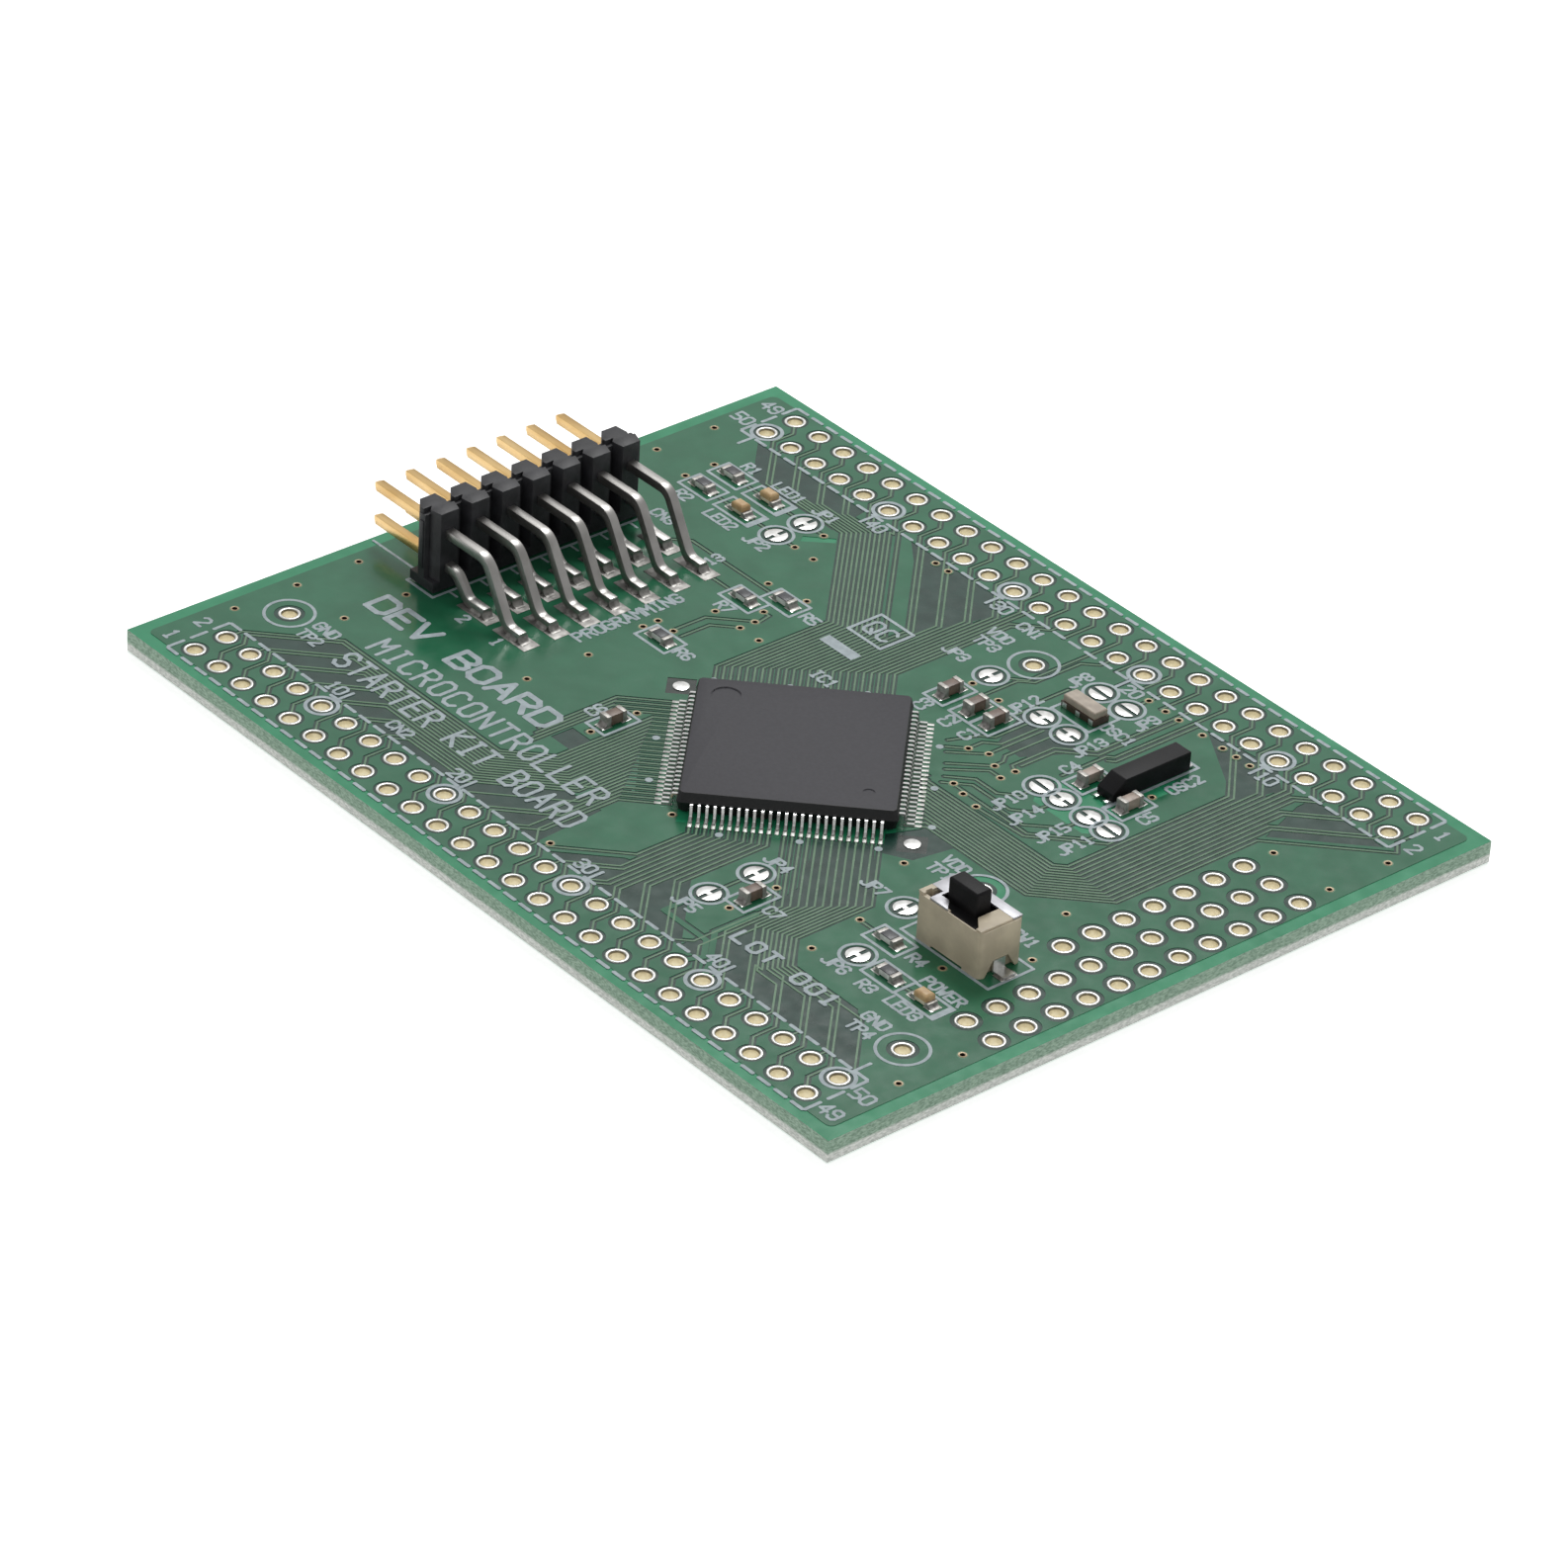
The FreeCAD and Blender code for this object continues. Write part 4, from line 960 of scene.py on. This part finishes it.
def make_eyelets():
    for node in EYELETS:
        heap = Heap()
        for place in middles(node):
            heap.add(*eyelet(place.x, place.y))
        heap.piece(node + "_fine", ["tin", "barrel", "mouth_shade"], "tin", stands_for=[node], angle=60.0)
    heap = Heap()
    for place in middles("via_barrels"):
        hole, pad = 0.18, 0.3
        upper = [(pad - 0.06, TOP - 0.04, 0), (pad, TOP - 0.02, 0), (pad - 0.02, COPPER + 0.02, 0)]
        # The inside wall takes paint 1, painted shade.
        wall = [(hole, COPPER + 0.012, 1), (hole, 0.0, 0)]
        lower = [(pad - 0.02, 0.0, 0), (pad, 0.02, 0), (pad - 0.06, 0.04, 0)]
        heap.add(*lathe(upper + wall + lower, place.x, place.y, 18))
    heap.piece("via_barrels_fine", ["via", "shaded_shaft"], "copper", stands_for=["via_barrels"], angle=50.0)


def make_lands():
    for node, width in (
        ("jumper_lands", 0.03), ("fiducial_lands", 0.01), ("chip_lands", 0.02), ("switch_lands", 0.02),
    ):
        softened(node, "land", "tin", width)
    softened("processor_lands", "dull", "tin", 0.015)
    softened("header_lands", "foot", "tin", 0.02)


def fillet(x0, x1, half_width, toe, top):
    """A concave solder fillet from height toe at x0 up to height top at x1, centred on the X axis."""
    steps = 6
    verts = []
    for k in range(steps + 1):
        t = k / steps
        x = x0 + (x1 - x0) * t
        z = toe + (top - toe) * (1 - math.sqrt(max(0.0, 1 - t * t)))
        pinch = half_width * (0.82 + 0.18 * (x - x0) / (x1 - x0))
        crown = pinch * 0.55
        verts += [(x, -pinch, toe - 0.04), (x, -pinch, z), (x, -crown, z + 0.02)]
        verts += [(x, crown, z + 0.02), (x, pinch, z), (x, pinch, toe - 0.04)]
    return verts, sleeve(steps + 1, 6) + [list(range(6)), list(range(steps * 6, steps * 6 + 6))]


def turned(mesh, place, degrees):
    """A mesh made about the origin, turned about Z and moved to its place."""
    verts, faces = mesh
    c, s = math.cos(math.radians(degrees)), math.sin(math.radians(degrees))
    return [(place.x + x * c - y * s, place.y + x * s + y * c, z) for x, y, z in verts], faces


def make_solder():
    """The fillets at the ends of the small chips, at the header's feet and at the switch's feet."""
    heap = Heap()
    groups = [("resistor", 7, 0.30), ("capacitor", 7, 0.42), ("led_base", 3, 0.24)]
    land_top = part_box("chip_lands")[1].z / MM
    for kind, count, rise in groups:
        for number in range(1, count + 1):
            node = f"{kind}_{number}"
            place, extent = centre(node), size(node)
            half = max(extent.x, extent.y) / 2 + 0.02
            along = 0 if extent.x > extent.y else 90
            for turn in (0, 180):
                shape = fillet(half + 0.4, half - 0.03, 0.4, land_top, land_top + rise)
                heap.add(*turned(shape, place, along + turn))
    foot_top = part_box("header_lands")[1].z / MM
    for node in ("header_upper_pins", "header_lower_pins"):
        for low, high in islands(node):
            toe = Vector((high.x, (low.y + high.y) / 2, 0))
            heap.add(*turned(fillet(0.42, -0.02, 0.42, foot_top, foot_top + 0.45), toe, 0))
            for side in (90, -90):
                beside = Vector((high.x - 0.75, toe.y, 0))
                heap.add(*turned(fillet(0.60, 0.31, 0.55, foot_top, foot_top + 0.26), beside, side))
    switch = centre("switch_housing")
    contact_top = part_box("switch_lands")[1].z / MM
    for side in (-1, 1):
        toe = Vector((switch.x + side * 3.88, switch.y, 0))
        beside = Vector((switch.x + side * 3.5, switch.y, 0))
        turn = 0 if side > 0 else 180
        heap.add(*turned(fillet(0.14, -0.02, 0.45, contact_top, contact_top + 0.14), toe, turn))
        for way in (90, -90):
            heap.add(*turned(fillet(0.68, 0.46, 0.4, contact_top, contact_top + 0.14), beside, way))
    heap.piece("solder_fillets", ["solder"], "tin", angle=50.0)


# ---- processor

PACKAGE_HALF = 7.0


def make_package():
    """The moulded body: drafted sides meeting at a parting line, a top with two round dimples. The sides and
    bottom are painted darker than the top as painted shade.
    """
    low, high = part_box("processor_package")
    bottom, top = low.z / MM, high.z / MM
    parting = (bottom + top) / 2

    def rim(inset, height, corner=0.2):
        side = PACKAGE_HALF - inset
        outline = []
        for k in range(4):
            turn = math.pi / 4 + math.pi / 2 * k
            for u, v in ((side, -(side - corner)), (side, side - corner)):
                outline.append((chip.x + u * math.cos(turn) - v * math.sin(turn),
                                chip.y + u * math.sin(turn) + v * math.cos(turn), height))
        return outline

    rings = [rim(0.17, bottom), rim(0.02, parting - 0.06), rim(0.0, parting - 0.02), rim(0.0, parting + 0.02)]
    rings += [rim(0.02, parting + 0.06), rim(0.15, top - 0.05), rim(0.17, top - 0.015), rim(0.21, top)]
    verts = [point for outline in rings for point in outline]
    faces = sleeve(len(rings), 8) + [list(range(8))[::-1]]
    # Sides and bottom take paint 1, painted shade.
    indices = [1] * len(faces)
    shapes, levels = [("top", [(x, y) for x, y, _ in rings[-1]])], []
    for number, (x, radius, depth) in enumerate(((chip.x - 7.0, 1.0, 0.07), (chip.x + 7.0, 0.4, 0.05))):
        for part, reach, height in (("floor", radius - 0.05, top - depth), ("step", radius, top - 0.03)):
            shapes.append((f"{part}{number}", disc(x, chip.y, reach, 48)))
            levels.append((f"{part}{number}", height, 0))
    cover = terraces(shapes, levels + [("top", top, 0)], top)
    Heap().add(verts, faces, indices).add(*cover).piece(
        "package_body", ["package", "shaded_flank"], "package_plastic", stands_for=["processor_package"],
        angle=25.0,
    )


def keep(node, paint):
    """A CAD node that shows as it is, with a better material."""
    node_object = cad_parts[node]
    node_object.data.materials.clear()
    node_object.data.materials.append(PAINTS[paint])


# CAD node, paint, material slot, width of the rounding and, where there are not two, its segments.
ROUNDED_PARTS = [
    ("processor_leads", "lead", "lead_metal", 0.018, 1),
    ("header_housing", "housing", "header_plastic", 0.05),
    ("header_upper_pins", "pin", "pin_metal", 0.04),
    ("header_lower_pins", "pin", "pin_metal", 0.04),
    ("switch_housing", "case", "switch_plastic", 0.12, 3),
    ("switch_cover_plate", "cover", "steel", 0.03),
    ("switch_button", "button", "button_plastic", 0.06),
    ("resonator_base", "base", "resonator_ceramic", 0.04),
    ("resonator_lid", "ceramic", "resonator_ceramic", 0.04),
    ("resonator_terminals", "land", "tin", 0.01),
    ("crystal_body", "crystal", "crystal_plastic", 0.18, 3),
    ("crystal_leads", "lead", "lead_metal", 0.02),
    ("resistor_coatings", "film", "resistor_coating", 0.015),
    ("resistor_end_caps", "cap_metal", "tin", 0.03),
    ("capacitor_end_caps", "cap_metal", "tin", 0.05),
    ("led_end_caps", "cap_metal", "tin", 0.02),
]


def make_parts():
    for node, *look in ROUNDED_PARTS:
        softened(node, *look, body="button" if node == "switch_button" else "board")
    for number in range(1, 8):
        softened(f"resistor_{number}", "alumina", "alumina", 0.02)
        softened(f"capacitor_{number}", "pale" if number in (4, 5) else "brown", "capacitor_ceramic", 0.05)
    for number in range(1, 4):
        softened(f"led_base_{number}", "led_board", "led_board", 0.02)
        softened(f"led_lens_{number}", "lens", "lens", 0.12, 3)
    for node, paint, slot in (
        ("processor_die", "silicon", "silicon"), ("processor_paddle", "copper", "copper"),
        ("resonator_element", "base", "resonator_ceramic"), ("crystal_can", "lead", "steel"),
        ("led_chips", "silicon", "silicon"),
        ("switch_center_contact", "land", "steel"), ("switch_outer_contact", "land", "steel"),
    ):
        keep(node, paint)
    dome = softened("switch_dome", "cover", "steel", 0.005, 1)
    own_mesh(dome)


# ---- stage, light and camera


def make_stage():
    """A plain pale floor that reaches past the view."""
    reach, drop = 1200, 0.05
    corners = [Vector((x, y, -drop)) * MM for x, y in rectangle(-reach, -reach, reach, reach)]
    mesh = bpy.data.meshes.new("floor")
    mesh.from_pydata(corners, [], [[0, 1, 2, 3]])
    floor = bpy.data.objects.new("floor", mesh)
    bpy.context.scene.collection.objects.link(floor)
    paint = Paint("floor_paper", 0.9)
    pale = {"Base Color": (0.9, 0.9, 0.9, 1), "Emission Color": (1, 1, 1, 1), "Emission Strength": 0.55}
    for socket, value in pale.items():
        paint.shader.inputs[socket].default_value = value
    mesh.materials.append(paint.material)


def area_light(name, place, width, height, power):
    """A soft rectangular light aimed at the origin."""
    data = bpy.data.lights.new(name, "AREA")
    data.shape = "RECTANGLE"
    data.size, data.size_y, data.energy = width * MM, height * MM, power
    light = bpy.data.objects.new(name, data)
    light.location = Vector(place) * MM
    light.rotation_mode = "QUATERNION"
    light.rotation_quaternion = (-Vector(place)).to_track_quat("-Z", "Y")
    bpy.context.scene.collection.objects.link(light)


def make_light():
    world = bpy.data.worlds.new("studio")
    bpy.context.scene.world = world
    world.use_nodes = True
    backdrop = world.node_tree.nodes["Background"]
    backdrop.inputs["Color"].default_value = (1, 1, 1, 1)
    backdrop.inputs["Strength"].default_value = 0.5
    area_light("key", (-170, 210, 400), 160, 160, 1.1)
    area_light("back_panel", (-400, 360, 300), 700, 500, 0.4)
    area_light("fill", (260, -380, 260), 300, 240, 0.1)


def make_camera():
    """The viewpoint: azimuth from +X towards -Y, elevation above the board, and a slight roll."""
    eye = Vector((294.74, -267.75, 254.44))
    aim = Vector((3.92, -4.67, 1.6))
    roll = math.radians(3.57)
    data = bpy.data.cameras.new("camera")
    data.sensor_width = 36.0
    data.lens = 169.62
    data.clip_start, data.clip_end = 0.01, 20.0
    camera = bpy.data.objects.new("camera", data)
    camera.location = eye * MM
    back = (eye - aim).normalized()
    right = Vector((0, 0, 1)).cross(back).normalized()
    across = right * math.cos(roll) + back.cross(right) * math.sin(roll)
    camera.rotation_mode = "QUATERNION"
    camera.rotation_quaternion = Matrix([across, back.cross(across), back]).transposed().to_quaternion()
    bpy.context.scene.collection.objects.link(camera)
    bpy.context.scene.camera = camera
    bpy.context.scene.view_settings.view_transform = "Standard"


make_board()
make_legend()
make_eyelets()
make_lands()
make_package()
make_parts()
make_solder()
make_stage()
make_light()
make_camera()
